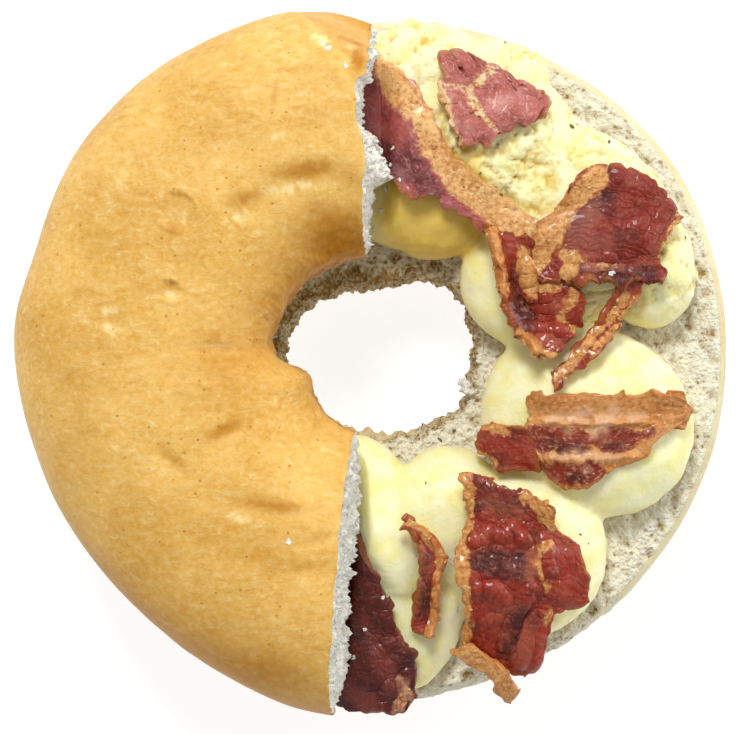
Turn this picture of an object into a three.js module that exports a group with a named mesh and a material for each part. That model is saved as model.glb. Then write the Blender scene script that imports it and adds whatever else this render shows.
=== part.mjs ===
// A savory filled doughnut: a ring of soft bread cut in half level with the table, spread with lobes
// of whipped egg filling, laid with fried streaky bacon, and closed on its left side by half a lid.
// Millimetres, +Z up. The doughnut lies flat, and the origin is under the middle of its bounding box.
import * as THREE from "three";

// Outlines of the two bread halves seen from above, as [degrees round the ring, radius]
const BASE_OUTLINE = [
  [0, 57.4], [36, 58.4], [60, 57], [75, 56.4], [90, 55.2], [135, 56], [180, 55.3], [222, 53.4], [262, 55.2],
  [288, 54.7], [318, 55.6], [340, 56.7],
];
const HOLE_OUTLINE = [
  [0, 16.3], [36, 18.1], [60, 15.8], [84, 12.5], [112, 12.8], [150, 14.2], [172, 14.2], [192, 12.8],
  [250, 11.5], [276, 11.7], [300, 12.8], [320, 14.3], [338, 16.3],
];
const LID_OUTLINE = [
  [88, 52.4], [93, 54.4], [98, 55.6], [116, 56.3], [143, 56.4], [161, 55], [174, 55.6], [198, 53.7],
  [222, 52.6], [240, 53], [258, 54.6], [266, 55],
];
const LID_HOLE_OUTLINE = [
  [92, 16.3], [119, 16.3], [148, 15.8], [173, 15.2], [188, 10.1], [207, 10.2], [226, 10.5], [256, 10.8],
];

// Bottom half of the bread ring
const BASE_HEIGHT = 17;
const BASE_WIDEST = 9.5;
const BASE_BULGE = 10.9;
const BASE_BLUNTNESS = { in: 4.5, out: 2.5 };
const BASE_SHOULDER = 4;
const BASE_GRID = { steps: 72, corners: 16 };
const CRUMB = { depth: 0.5, scale: 4 };

// Half lid
const LID_UNDERSIDE = 26.6;
const LID_WIDEST = 30;
const LID_TOP = 45.5;
const LID_TUCK = 10;
const LID_BLUNTNESS = { in: 2.3, out: 2.3 };
const LID_START = { inner: 94.5, outer: 90.3 };
const LID_END = { inner: 253.5, outer: 262.8 };
const LID_CUT = { slant: 1.6, tear: 0.6, tearScale: 2.5, share: 0.05 };
const LID_GRID = { steps: 51, corners: 22 };
const CUT_LINE = { above: -0.7, below: -4.1, lean: 0.058 };

// Crust: soft swellings, hollows baked or pressed into it, and the corner that is folded down
const SWELLING = { height: 0.5, scale: 17 };
const HOLLOWS = [
  { x: -12.2, y: 28.2, length: 7, width: 2.6, turn: 14, depth: 0.9 },
  { x: -28.9, y: 22.6, length: 3.4, width: 3.2, turn: 0, depth: 0.7 },
  { x: -22, y: 2.4, length: 10, width: 1.8, turn: 4, depth: 0.5 },
  { x: -23.5, y: -15.5, length: 6, width: 2.4, turn: -35, depth: 0.5 },
  { x: -16, y: -21.5, length: 8, width: 2.6, turn: -6, depth: 0.6 },
  { x: -13, y: -31, length: 8, width: 3, turn: -14, depth: 0.5 },
];
const FOLD = { x: -4.2, y: 46.6, turn: 44, slope: 0.62 };

// Filling
const GAP = 0.3;
const FILLING_FLOOR = BASE_HEIGHT + GAP;
const LOBE_CENTRE_HEIGHT = FILLING_FLOOR + 2.6;
const FILLING_MELT = 1.1;
const FILLING_REACH = 26;
const FILLING_GRID = { steps: 108, above: 17, below: 5 };
const TORN = { height: 1.1, scale: 4.6 };

// Bacon
const BACON_THICKNESS = 1.8;
const BACON_CLEARANCE = 0.5;
const BACON_STIFFNESS = 20;
const BACON_RIM = 0.3;
const BACON_DROOP = 0.5;

// Heights under the lid: the filling stands up to its crumb, and bacon slips in lower down. Past the
// lid's edge both rise again, over the distances given here.
const PRESSED_FILLING = LID_UNDERSIDE - GAP;
const PRESSED_BACON = PRESSED_FILLING - BACON_THICKNESS - BACON_CLEARANCE - 0.1;
const OPEN_SKY = 34;
const RISE = { bacon: [2.4, 9], filling: [2.6, 10], wave: [3, 8], deep: [-11, -7] };

// Lobes of filling: centre, half width in x and y, and height of the crown, with the turn in degrees
const LOBES = [
  { x: 8.3, y: 35.7, rx: 18.4, ry: 18.2, top: 28.4 },
  { x: 21, y: 34.5, rx: 12, ry: 12.4, top: 27.4 },
  { x: 32.5, y: 21.5, rx: 15.8, ry: 15.6, top: 28 },
  { x: 43.3, y: 15.4, rx: 8.6, ry: 10, top: 26.5, turn: 20 },
  { x: 10, y: 27, rx: 10.6, ry: 10.6, top: 26.6 },
  { x: 25, y: 13.2, rx: 11, ry: 10.8, top: 26 },
  { x: 34.2, y: -9, rx: 17.4, ry: 15, top: 28, turn: -25 },
  { x: 24, y: -29.5, rx: 13.4, ry: 13.8, top: 28 },
  { x: 12, y: -23.6, rx: 9.6, ry: 10.6, top: 26.6 },
  { x: -3, y: -25, rx: 10.5, ry: 14, top: 26.5 },
  { x: 2.5, y: -29, rx: 5.6, ry: 11.5, top: 27.6, turn: 22 },
  { x: 4, y: -39.8, rx: 10.5, ry: 12, top: 25 },
  { x: -16, y: -32, rx: 15.5, ry: 15.5, top: 28 },
  { x: -32, y: -14, rx: 16, ry: 16, top: 28 },
  { x: -33, y: 12, rx: 16.5, ry: 16.5, top: 28 },
  { x: -15, y: 33.5, rx: 16.5, ry: 16.5, top: 28 },
];

// Bacon pieces. Each is a patch between four sides, given by the points that they pass through:
// left and right run the same way, near joins their first points and far joins their last.
const BACON = [
  {
    name: "bacon_long_rasher",
    left: [
      [-5.5, 39.5], [-2, 36.5], [1.2, 33], [3.6, 30],
      [5.6, 26.6], [9, 26.2], [13, 23.9], [18.6, 20.9],
    ],
    right: [
      [-5, 46.5], [0, 47.8], [4, 46.5], [7.5, 42.5], [9.6, 38.5],
      [12.3, 33.4], [16, 29.8], [20.5, 26.4], [25, 22],
    ],
    grid: [16, 6], waves: { count: 2.5, height: 0.5 },
  },
  {
    name: "bacon_top_slice",
    left: [[10, 48], [10.8, 45.5], [10.3, 43.5], [11.4, 40], [12.4, 37], [13.6, 34.6]],
    right: [
      [18, 46.6], [22, 44.3], [26.5, 42.4], [28, 40.3],
      [26, 38], [22.5, 37.6], [20, 36.2], [17.8, 33.6],
    ],
    near: [[14.5, 48.2]], grid: [9, 8], waves: { count: 1.5, height: 0.4 },
  },
  {
    name: "bacon_folded_flap",
    left: [[34.5, 30], [31, 27.6], [28.8, 24.6], [26.4, 21.4], [24.9, 18.4], [25, 15.4], [26.4, 12.8]],
    right: [[47.8, 24.5], [48.2, 22.8], [46.4, 20], [44.8, 17], [45.6, 14], [45, 12.2]],
    near: [[38, 30.5], [42, 29.3], [45.3, 27.2]], far: [[29.4, 12.3], [34, 12.6], [38.5, 12], [42, 12.6]],
    grid: [11, 10], waves: { count: 2, height: 0.7 }, curl: { far: 1.6 },
  },
  {
    name: "bacon_curled_end",
    left: [[17.5, 20.2], [19.1, 15], [19.6, 10.5], [21, 6.8], [22.8, 3.8], [25, 0.8]],
    right: [[24, 17.7], [24.2, 14.8], [25.8, 11.9], [30, 10.8], [32.6, 8.4], [31.4, 4.6], [29, 1.2]],
    grid: [12, 7], waves: { count: 1.5, height: 0.5 }, curl: { left: 3.4, far: 0.8 },
  },
  {
    name: "bacon_sliver",
    left: [[38.4, 11.3], [36.2, 8.5], [34, 5], [31, 1.2], [28, -1.8]],
    right: [[42, 11.6], [39.6, 8], [38.3, 4.5], [35.5, 1.5], [32, -1], [29.3, -4]],
    lift: 0.2, grid: [12, 3], waves: { count: 3, height: 0.5 },
  },
  {
    name: "bacon_middle_rasher",
    left: [[24.8, -4.2], [28, -4.7], [33, -4.6], [38, -4.8], [42, -5], [46.5, -4.6], [49, -5.7]],
    right: [
      [26.6, -16.4], [28.6, -18.7], [31.5, -19.9], [35, -19],
      [37.5, -16.6], [42.5, -14.8], [45, -11.6], [49.5, -9],
    ],
    near: [[23.8, -6.2], [24.6, -8], [23.8, -9.6], [25, -12]], far: [[50.5, -7.4]],
    grid: [14, 8], waves: { count: 2.5, height: 0.6 }, curl: { left: 1.2 },
  },
  {
    name: "bacon_scrap",
    left: [[17, -9.5], [19.8, -9.2], [22.6, -10.3]],
    right: [[16.8, -14], [19, -14.9], [19.6, -16.7], [22.3, -16.4], [25.2, -16.9]],
    near: [[16.2, -11.8]], far: [[23.9, -12.6]], grid: [6, 5], waves: { count: 1, height: 0.5 },
  },
  {
    name: "bacon_lower_rasher",
    left: [
      [14, -17.6], [14, -19.6], [14.7, -22], [14.5, -26], [12.9, -29.5],
      [13.7, -34], [14.6, -38], [14.5, -42], [13.5, -45],
    ],
    right: [
      [28, -22], [28.6, -25], [31, -27.8], [33, -31.5], [33.6, -36.5],
      [30, -38], [28.2, -41], [26.5, -46], [24.5, -48.5],
    ],
    near: [[17.5, -18], [20.5, -19.4], [24.6, -20.1]], far: [[16.5, -47.3], [20.5, -47.8]],
    grid: [14, 9], waves: { count: 2, height: 1 }, curl: { left: 1, near: 0.8 },
  },
  {
    name: "bacon_rind_spike",
    left: [[12.4, -44.2], [15.5, -46.8], [19, -48.8], [20.6, -51], [22, -52.4]],
    right: [[16, -43.6], [18.5, -45.5], [20.7, -46.8], [22.3, -49.5], [22.8, -51.8]],
    lift: 3.1, grid: [9, 3], waves: { count: 1.5, height: 0.3 },
  },
  {
    name: "bacon_small_curl",
    left: [[4.7, -25.3], [6.3, -27.2], [7.4, -30.5], [6.9, -35], [6.1, -39], [6.3, -42]],
    right: [[5.7, -23.2], [8, -25], [12, -29.6], [11, -33.5], [10.9, -38], [9.8, -43.3]],
    grid: [12, 4], waves: { count: 2, height: 0.5 }, curl: { right: 2.4, near: 1 },
  },
  {
    name: "bacon_under_lid",
    left: [[-6, -25], [-9, -32], [-10.4, -42], [-9.4, -52.5]],
    right: [[-2.2, -25], [0.2, -31.5], [3, -37.8], [4.8, -42.4], [7.2, -46.5], [6.8, -52.8]],
    far: [[-5, -53.6], [-2.6, -54.6], [1, -54], [4, -54.7]], grid: [12, 6], waves: { count: 0, height: 0 },
  },
];

const degrees = Math.PI / 180;
const lerp = THREE.MathUtils.lerp;
const smooth = THREE.MathUtils.smoothstep;

// Repeatable random number between -1 and 1 for a point of a whole-number lattice
function latticeValue(i, j, k) {
  const mixed = Math.sin(i * 127.1 + j * 311.7 + k * 74.7) * 43758.5453;
  return 2 * (mixed - Math.floor(mixed)) - 1;
}

// Smooth noise between -1 and 1, with features about as large as the scale
function noise(x, y, z, scale) {
  const place = [x / scale, y / scale, z / scale];
  const [i, j, k] = place.map(Math.floor);
  const [fx, fy, fz] = place.map((p) => p - Math.floor(p)).map((f) => f * f * (3 - 2 * f));
  let sum = 0;
  for (let corner = 0; corner < 8; corner += 1) {
    const [di, dj, dk] = [corner & 1, (corner >> 1) & 1, corner >> 2];
    const weight = (di ? fx : 1 - fx) * (dj ? fy : 1 - fy) * (dk ? fz : 1 - fz);
    sum += weight * latticeValue(i + di, j + dj, k + dk);
  }
  return sum;
}

// Turns a place about a centre, so that it can be measured along a turned ellipse's own axes
function turned(x, y, centre) {
  const turn = (centre.turn ?? 0) * degrees;
  const [dx, dy] = [x - centre.x, y - centre.y];
  return [dx * Math.cos(turn) + dy * Math.sin(turn), dy * Math.cos(turn) - dx * Math.sin(turn)];
}

// Turns a point list and a triangle list into a geometry whose faces point out
function solid(points, faces) {
  let volume = 0;
  for (const [a, b, c] of faces) {
    volume += points[a].dot(new THREE.Vector3().crossVectors(points[b], points[c]));
  }
  const index = volume < 0 ? faces.flatMap(([a, b, c]) => [a, c, b]) : faces.flat();
  const geometry = new THREE.BufferGeometry().setFromPoints(points);
  geometry.setIndex(index);
  geometry.computeVertexNormals();
  return geometry;
}

// Skin over a row of closed sections. An endless row joins up with itself, and an open one ends in
// a middle point at each end.
function skin(sections, endless) {
  const size = sections[0].length;
  const points = sections.flat();
  const faces = [];
  const spans = endless ? sections.length : sections.length - 1;
  for (let i = 0; i < spans; i += 1) {
    const here = i * size;
    const next = ((i + 1) % sections.length) * size;
    for (let j = 0; j < size; j += 1) {
      const k = (j + 1) % size;
      faces.push([here + j, here + k, next + k], [here + j, next + k, next + j]);
    }
  }
  if (!endless) {
    const ends = [[sections[0], 0, true], [sections.at(-1), spans * size, false]];
    for (const [section, start, flipped] of ends) {
      const middle = section.reduce((sum, p) => sum.add(p), new THREE.Vector3()).divideScalar(size);
      points.push(middle);
      for (let j = 0; j < size; j += 1) {
        const [a, b] = [start + j, start + ((j + 1) % size)];
        faces.push(flipped ? [points.length - 1, b, a] : [points.length - 1, a, b]);
      }
    }
  }
  return solid(points, faces);
}

// Height and sideways place of a bread section at an angle round its middle: a blunted ellipse,
// sharper on the side of the hole, and flat at the floor and at the knife cut
function breadSection(angle, { middle, rise, drop, low, high, bluntness }) {
  const [c, s] = [Math.cos(angle), Math.sin(angle)];
  const blunt = c < 0 ? bluntness.in : bluntness.out;
  const reach = (Math.abs(c) ** blunt + Math.abs(s) ** blunt) ** (-1 / blunt);
  const z = middle + reach * s * (s > 0 ? rise : drop);
  const level = THREE.MathUtils.clamp(z, low, high);
  let across = reach * c;
  if (level !== z) {
    // On a flat face the points are spread evenly from edge to edge.
    const edge = (1 - (Math.abs(level - middle) / (s > 0 ? rise : drop)) ** blunt) ** (1 / blunt);
    across = Math.min(edge, Math.abs(c / s) * edge) * Math.sign(c);
  }
  return { across, z: level };
}

// Point of an outline at an angle in degrees, its radii joined by a smooth curve. A full outline
// runs past both its ends, so that it closes without a corner.
function outline(corners) {
  const full = corners[0][0] === 0;
  const before = full ? corners.slice(-2).map(([turn, radius]) => [turn - 360, radius]) : [];
  const after = full ? corners.slice(0, 3).map(([turn, radius]) => [turn + 360, radius]) : [];
  const all = [...before, ...corners, ...after];
  const curve = new THREE.CubicInterpolant(all.map(([turn]) => turn), all.map(([, radius]) => radius), 1);
  return (turn) => {
    const [radius] = curve.evaluate(turn);
    return new THREE.Vector2(radius * Math.cos(turn * degrees), radius * Math.sin(turn * degrees));
  };
}

const baseOuter = outline(BASE_OUTLINE);
const baseInner = outline(HOLE_OUTLINE);
const lidOuter = outline(LID_OUTLINE);
const lidInner = outline(LID_HOLE_OUTLINE);

// The bottom half of the bread: a full ring with a flat foot and a flat crumb face
function baseGeometry() {
  const shape = {
    middle: BASE_WIDEST, rise: BASE_BULGE, drop: BASE_BULGE, low: 0, high: BASE_HEIGHT,
    bluntness: BASE_BLUNTNESS,
  };
  const { steps, corners } = BASE_GRID;
  const sections = [];
  for (let i = 0; i < steps; i += 1) {
    const turn = (i / steps) * 360;
    const section = [];
    for (let j = 0; j < corners; j += 1) {
      const { across, z } = breadSection(((j + 0.5) / corners) * 2 * Math.PI, shape);
      const place = baseInner(turn).lerp(baseOuter(turn), (across + 1) / 2);
      const hollow = (1 - noise(place.x, place.y, z, CRUMB.scale)) / 2;
      const sunk = z === BASE_HEIGHT ? CRUMB.depth * hollow : 0;
      section.push(new THREE.Vector3(place.x, place.y, z - sunk));
    }
    sections.push(section);
  }
  return skin(sections, true);
}

// How far the crust stands above its plain rounded form
function crustRelief(x, y, z) {
  let relief = SWELLING.height * noise(x, y, z, SWELLING.scale);
  for (const hollow of HOLLOWS) {
    const [along, across] = turned(x, y, hollow);
    const reach = Math.hypot(along / (hollow.length / 2), across / (hollow.width / 2));
    relief -= hollow.depth * Math.exp(-(reach ** 2));
  }
  const [beyondFold] = turned(x, y, FOLD);
  return relief - FOLD.slope * Math.max(0, beyondFold);
}

// The left half of the lid, whose two torn ends lean outwards at the bottom
function lidGeometry() {
  const shape = {
    middle: LID_WIDEST, rise: LID_TOP - LID_WIDEST, drop: LID_TUCK, low: LID_UNDERSIDE, high: LID_TOP + 1,
    bluntness: LID_BLUNTNESS,
  };
  const height = LID_TOP - LID_UNDERSIDE;
  const { steps, corners } = LID_GRID;
  const sectionAt = (t, size = 1, bulge = 0) => {
    const inner = lidInner(lerp(LID_START.inner, LID_END.inner, t));
    const outer = lidOuter(lerp(LID_START.outer, LID_END.outer, t));
    const along = outer.clone().sub(inner).normalize();
    const ahead = new THREE.Vector2(-along.y, along.x).multiplyScalar(t < 0.5 ? -1 : 1);
    const atEnd = 1 - smooth(Math.min(t, 1 - t), 0, LID_CUT.share);
    const section = [];
    for (let j = 0; j < corners; j += 1) {
      const round = breadSection(((j + 0.5) / corners) * 2 * Math.PI, shape);
      const z = lerp(LID_UNDERSIDE + 0.4 * height, round.z, size);
      const place = inner.clone().lerp(outer, (round.across * size + 1) / 2);
      const slant = LID_CUT.slant * (1 - (z - LID_UNDERSIDE) / height);
      const tear = LID_CUT.tear * bulge * (1 + noise(place.x, place.y, z, LID_CUT.tearScale));
      place.addScaledVector(ahead, atEnd * (slant + tear));
      const point = new THREE.Vector3(place.x, place.y, z);
      const lift = size * crustRelief(place.x, place.y, z) * smooth(z, LID_UNDERSIDE, LID_UNDERSIDE + 9);
      const sideways = along.clone().multiplyScalar(0.6 * round.across);
      section.push(point.addScaledVector(new THREE.Vector3(sideways.x, sideways.y, 1).normalize(), lift));
    }
    return section;
  };
  const sections = [sectionAt(0, 0.3, 0.6), sectionAt(0, 0.65, 1)];
  for (let i = 0; i <= steps; i += 1) sections.push(sectionAt(i / steps));
  sections.push(sectionAt(1, 0.65, 1), sectionAt(1, 0.3, 0.6));
  return skin(sections, false);
}

// How far a place lies from the line of the lid's two torn ends, positive where the filling is bare
function pastCut(x, y) {
  return x - (y > 0 ? CUT_LINE.above : CUT_LINE.below + CUT_LINE.lean * (y - CUT_LINE.below));
}

// Highest that the filling may stand: free in the open, pressed by the lid, and lower under bacon there
function fillingCeiling(x, y) {
  const past = pastCut(x, y);
  const pressed = lerp(PRESSED_FILLING, PRESSED_BACON, smooth(past, ...RISE.deep));
  return lerp(pressed, OPEN_SKY, smooth(past, ...RISE.filling));
}

// Highest that a sheet of bacon may lie, so that it slides in under the lid
function baconCeiling(x, y) {
  return lerp(PRESSED_BACON, OPEN_SKY, smooth(pastCut(x, y), ...RISE.bacon));
}

// Where the lid pulled the filling up into rough peaks, from 0 to 1
function tornness(x, y) {
  const turn = Math.atan2(y, x) / degrees;
  return smooth(Math.hypot(x, y), 26, 33) * smooth(turn, 6, 18) * (1 - smooth(turn, 88, 96));
}

// Distance outside the filling, negative inside it: ellipsoids melted into each other
function outsideFilling(x, y, z) {
  let sum = 0;
  for (const lobe of LOBES) {
    const [px, py] = turned(x, y, lobe);
    const pz = z - LOBE_CENTRE_HEIGHT;
    const rz = lobe.top - LOBE_CENTRE_HEIGHT;
    const near = Math.hypot(px / lobe.rx, py / lobe.ry, pz / rz);
    const slope = Math.hypot(px / lobe.rx ** 2, py / lobe.ry ** 2, pz / rz ** 2) || 1;
    sum += Math.exp(-(near * (near - 1)) / slope / FILLING_MELT);
  }
  return -FILLING_MELT * Math.log(sum) + TORN.height * tornness(x, y) * noise(x, y, z, TORN.scale);
}

// First distance along a ray where the filling ends
function edgeAlong(start, direction) {
  let [inside, outside] = [0, FILLING_REACH];
  for (let i = 0; i < 26; i += 1) {
    const half = (inside + outside) / 2;
    const p = start.clone().addScaledVector(direction, half);
    if (outsideFilling(p.x, p.y, p.z) < 0) inside = half;
    else outside = half;
  }
  return inside;
}

// The ring of filling, found by looking outwards from the middle of the bread at each step round it
function fillingGeometry() {
  const { steps, above, below } = FILLING_GRID;
  const rays = [];
  for (let j = 0; j <= above; j += 1) rays.push({ turn: (j / above) * Math.PI, flatness: 0.42 });
  for (let j = 1; j <= below; j += 1) rays.push({ turn: Math.PI * (1 + j / (below + 1)), flatness: 0.25 });
  const sections = [];
  for (let i = 0; i < steps; i += 1) {
    const turn = (i / steps) * 360;
    const across = baseOuter(turn).sub(baseInner(turn)).normalize();
    const middle = baseInner(turn).lerp(baseOuter(turn), 0.5);
    const start = new THREE.Vector3(middle.x, middle.y, LOBE_CENTRE_HEIGHT);
    sections.push(rays.map((ray) => {
      const level = Math.cos(ray.turn);
      const rise = ray.flatness * Math.sin(ray.turn);
      const direction = new THREE.Vector3(across.x * level, across.y * level, rise).normalize();
      let length = edgeAlong(start, direction);
      if (direction.z < 0) length = Math.min(length, (FILLING_FLOOR - start.z) / direction.z);
      const p = start.clone().addScaledVector(direction, length);
      p.z = Math.min(p.z, fillingCeiling(p.x, p.y));
      return p;
    }));
  }
  return skin(sections, true);
}

// Height of the filling's upper face, or of the crumb where there is none. Past the bread's shoulder
// it is how low a stiff strip droops.
function fillingHeight(x, y) {
  if (outsideFilling(x, y, LOBE_CENTRE_HEIGHT) > 0) {
    const shoulder = baseOuter((Math.atan2(y, x) / degrees + 360) % 360).length() - BASE_SHOULDER;
    return FILLING_FLOOR - BACON_DROOP * Math.max(0, Math.hypot(x, y) - shoulder);
  }
  let [low, high] = [LOBE_CENTRE_HEIGHT, OPEN_SKY];
  for (let i = 0; i < 16; i += 1) {
    const half = (low + high) / 2;
    if (outsideFilling(x, y, half) < 0) low = half;
    else high = half;
  }
  return Math.min(low, fillingCeiling(x, y));
}

// Height of a stiff sheet lying on the filling: it bridges the hollows narrower than its own bend
function drapeHeight(x, y) {
  let height = fillingHeight(x, y);
  for (let ring = 1; ring <= 3; ring += 1) {
    const away = ring * 1.8;
    for (let k = 0; k < 8; k += 1) {
      const turn = ((k + ring / 2) / 8) * 2 * Math.PI;
      const there = fillingHeight(x + away * Math.cos(turn), y + away * Math.sin(turn));
      height = Math.max(height, there - away ** 2 / (2 * BACON_STIFFNESS));
    }
  }
  return height;
}

// Smooth line through a side's points, from its first corner to its last
function side(points) {
  const line = new THREE.SplineCurve(points.map(([x, y]) => new THREE.Vector2(x, y)));
  return (t) => line.getPoint(t);
}

// One piece of bacon: a thin wavy sheet between four sides, laid over the filling
function baconGeometry({ left, right, near = [], far = [], lift = 0, grid, waves, curl = {} }) {
  const [steps, lanes] = grid;
  const sides = {
    left: side(left),
    right: side(right),
    near: side([left[0], ...near, right[0]]),
    far: side([left.at(-1), ...far, right.at(-1)]),
  };
  const corner = (list, end) => new THREE.Vector2(...(end ? list.at(-1) : list[0]));
  const placeAt = (u, v) => {
    const blendSides = sides.left(u).lerp(sides.right(u), v).add(sides.near(v).lerp(sides.far(v), u));
    const nearCorners = corner(left, 0).lerp(corner(right, 0), v);
    const farCorners = corner(left, 1).lerp(corner(right, 1), v);
    return blendSides.sub(nearCorners.lerp(farCorners, u));
  };
  const [upper, lower] = [[], []];
  for (let i = 0; i <= steps; i += 1) {
    for (let j = 0; j <= lanes; j += 1) {
      const [u, v] = [i / steps, j / lanes];
      const place = placeAt(u, v);
      const wave = waves.height * (1 + Math.sin(2 * Math.PI * waves.count * u + 2.2 * v)) * 0.5;
      const rim = (curl.left ?? 0) * (1 - smooth(v, 0, 0.34)) + (curl.right ?? 0) * smooth(v, 0.6, 1);
      const tip = (curl.near ?? 0) * (1 - smooth(u, 0, 0.25)) + (curl.far ?? 0) * smooth(u, 0.75, 1);
      const free = smooth(pastCut(place.x, place.y), ...RISE.wave);
      const rest = Math.min(drapeHeight(place.x, place.y), baconCeiling(place.x, place.y));
      const bottom = rest + BACON_CLEARANCE + lift + (wave + rim + tip) * free;
      const atEdge = i === 0 || j === 0 || i === steps || j === lanes;
      const trim = atEdge ? BACON_RIM : 0;
      lower.push(new THREE.Vector3(place.x, place.y, bottom + trim));
      upper.push(new THREE.Vector3(place.x, place.y, bottom + BACON_THICKNESS - trim));
    }
  }
  const points = [...upper, ...lower];
  const under = upper.length;
  const at = (i, j) => i * (lanes + 1) + j;
  const faces = [];
  const quad = (a, b, c, d) => faces.push([a, b, c], [a, c, d]);
  const wall = (a, b) => quad(a, b, under + b, under + a);
  for (let i = 0; i < steps; i += 1) {
    for (let j = 0; j < lanes; j += 1) {
      const [a, b, c, d] = [at(i, j), at(i + 1, j), at(i + 1, j + 1), at(i, j + 1)];
      quad(a, b, c, d);
      quad(under + a, under + d, under + c, under + b);
    }
    wall(at(i + 1, 0), at(i, 0));
    wall(at(i, lanes), at(i + 1, lanes));
  }
  for (let j = 0; j < lanes; j += 1) {
    wall(at(0, j), at(0, j + 1));
    wall(at(steps, j + 1), at(steps, j));
  }
  return solid(points, faces);
}

const looks = {
  crust: new THREE.MeshStandardMaterial({ color: 0xdca654, roughness: 0.55, metalness: 0 }),
  crumb: new THREE.MeshStandardMaterial({ color: 0xe6ddb8, roughness: 0.85, metalness: 0 }),
  filling: new THREE.MeshStandardMaterial({ color: 0xf3e6a6, roughness: 0.4, metalness: 0 }),
  bacon: new THREE.MeshStandardMaterial({ color: 0x8c3f30, roughness: 0.3, metalness: 0 }),
};

const doughnut = new THREE.Group();

function addPiece(name, geometry, look) {
  const piece = new THREE.Mesh(geometry, look);
  piece.name = name;
  doughnut.add(piece);
}

addPiece("bread_base", baseGeometry(), looks.crumb);
addPiece("filling", fillingGeometry(), looks.filling);
for (const piece of BACON) addPiece(piece.name, baconGeometry(piece), looks.bacon);
addPiece("bread_lid", lidGeometry(), looks.crust);

// The origin goes under the middle of the bounding box.
const box = new THREE.Box3().setFromObject(doughnut);
doughnut.position.set(-(box.min.x + box.max.x) / 2, -(box.min.y + box.max.y) / 2, -box.min.z);

export default doughnut;
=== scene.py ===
# A savory filled doughnut in Blender: a ring of soft bread cut in half, spread with lobes of egg
# filling, laid with fried bacon, and half covered by its torn lid. Forms are shaped in millimetres
# round the middle of the ring, and each finished piece is brought into the frame, in metres.
import bisect
import math
import random

import bmesh
import bpy
from mathutils import Matrix, Vector, noise
from mathutils.bvhtree import BVHTree


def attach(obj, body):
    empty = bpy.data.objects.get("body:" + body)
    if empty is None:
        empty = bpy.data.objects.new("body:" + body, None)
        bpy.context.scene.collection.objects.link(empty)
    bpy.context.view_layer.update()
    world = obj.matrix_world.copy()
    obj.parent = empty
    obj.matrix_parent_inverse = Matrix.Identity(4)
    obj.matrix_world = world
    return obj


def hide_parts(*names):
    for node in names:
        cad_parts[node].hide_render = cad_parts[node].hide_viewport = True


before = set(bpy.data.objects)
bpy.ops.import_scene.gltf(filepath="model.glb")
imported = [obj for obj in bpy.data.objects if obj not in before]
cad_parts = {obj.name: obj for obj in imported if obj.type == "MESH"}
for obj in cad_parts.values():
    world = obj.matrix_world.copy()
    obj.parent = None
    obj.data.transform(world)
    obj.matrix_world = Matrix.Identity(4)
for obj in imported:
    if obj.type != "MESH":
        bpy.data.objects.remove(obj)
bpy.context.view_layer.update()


# Bottom half of the bread
# The lower half of a soft white bread ring, sliced level. Its side is thin pale crust and its cut
# face is open crumb. A flat grid is rolled up round the section and bent round the hole, and the
# bubbles of the crumb are sunk into the face and torn into the side of the hole.
MM = 0.001
RING_MIDDLE = Vector((-0.979, -0.089, 0))

# Outlines seen from above, as (degrees round the ring, radius)
BASE_OUTLINE = [
    (0, 57.4), (36, 58.4), (60, 57), (75, 56.4), (90, 55.2), (135, 56), (180, 55.3), (222, 53.4),
    (262, 55.2), (288, 54.7), (318, 55.6), (340, 56.7),
]
HOLE_OUTLINE = [
    (0, 16.3), (36, 18.1), (60, 15.8), (84, 12.5), (112, 12.8), (150, 14.2), (172, 14.2),
    (192, 12.8), (250, 11.5), (276, 11.7), (300, 12.8), (320, 14.3), (338, 16.3),
]
BASE_HEIGHT = 17
BASE_WIDEST = 9.5
BASE_BULGE = 10.9
BASE_BLUNT_INSIDE = 4.5
BASE_BLUNT_FOOT = 2.5
BASE_BLUNT_RIM = 3.3
BASE_STEPS = 620
SIDE_ROWS = 20
FACE_ROWS = 84
FOOT_ROWS = 7
FACE_CROWDING = 0.085
MERGE = 0.0001

# Bubbles of the crumb, as (spacing, depth, share of the spacing that is open), and how ragged the
# side of the hole is
BUBBLES = [(4, 0.7, 0.34), (2.1, 0.5, 0.62), (1.1, 0.4, 0.62)]
HOLE_RAGGED = 1.5

# Degrees round the ring: the middle of the torn patch of the rim, of the part of the face under the
# lid where painted shading darkens the crumb, and of the part of the hole where the crust stayed whole
TORN_RIM = 295.5
SHADED_FACE = 140
WHOLE_CRUST = 262


def lerp(start, end, share):
    """Value a share of the way from one value to another"""
    return start + (end - start) * share


def ramp(value, start, end):
    """Smooth rise from 0 at the start to 1 at the end"""
    share = min(max((value - start) / (end - start), 0), 1)
    return share * share * (3 - 2 * share)


def outline(corners):
    """Radius by angle, as one smooth curve through an outline's corners"""
    if corners[0][0] == 0:
        before = [(turn - 360, radius) for turn, radius in corners[-2:]]
        after = [(turn + 360, radius) for turn, radius in corners[:3]]
        corners = before + corners + after
    turns = [turn for turn, radius in corners]
    last = len(corners) - 1

    def slope(i):
        (t0, r0), (t1, r1) = corners[max(i - 1, 0)], corners[min(i + 1, last)]
        return (r1 - r0) / (t1 - t0)

    def radius_at(turn):
        i = min(max(bisect.bisect(turns, turn), 1), last)
        (t0, r0), (t1, r1) = corners[i - 1], corners[i]
        span = t1 - t0
        s = (turn - t0) / span
        bend = slope(i - 1) * span * (s - 2 * s ** 2 + s ** 3) + slope(i) * span * (s ** 3 - s ** 2)
        return lerp(r0, r1, 3 * s ** 2 - 2 * s ** 3) + bend

    return radius_at


def polar(turn, radius):
    """Place at an angle in degrees and a radius"""
    return Vector((radius * math.cos(math.radians(turn)), radius * math.sin(math.radians(turn))))


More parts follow.
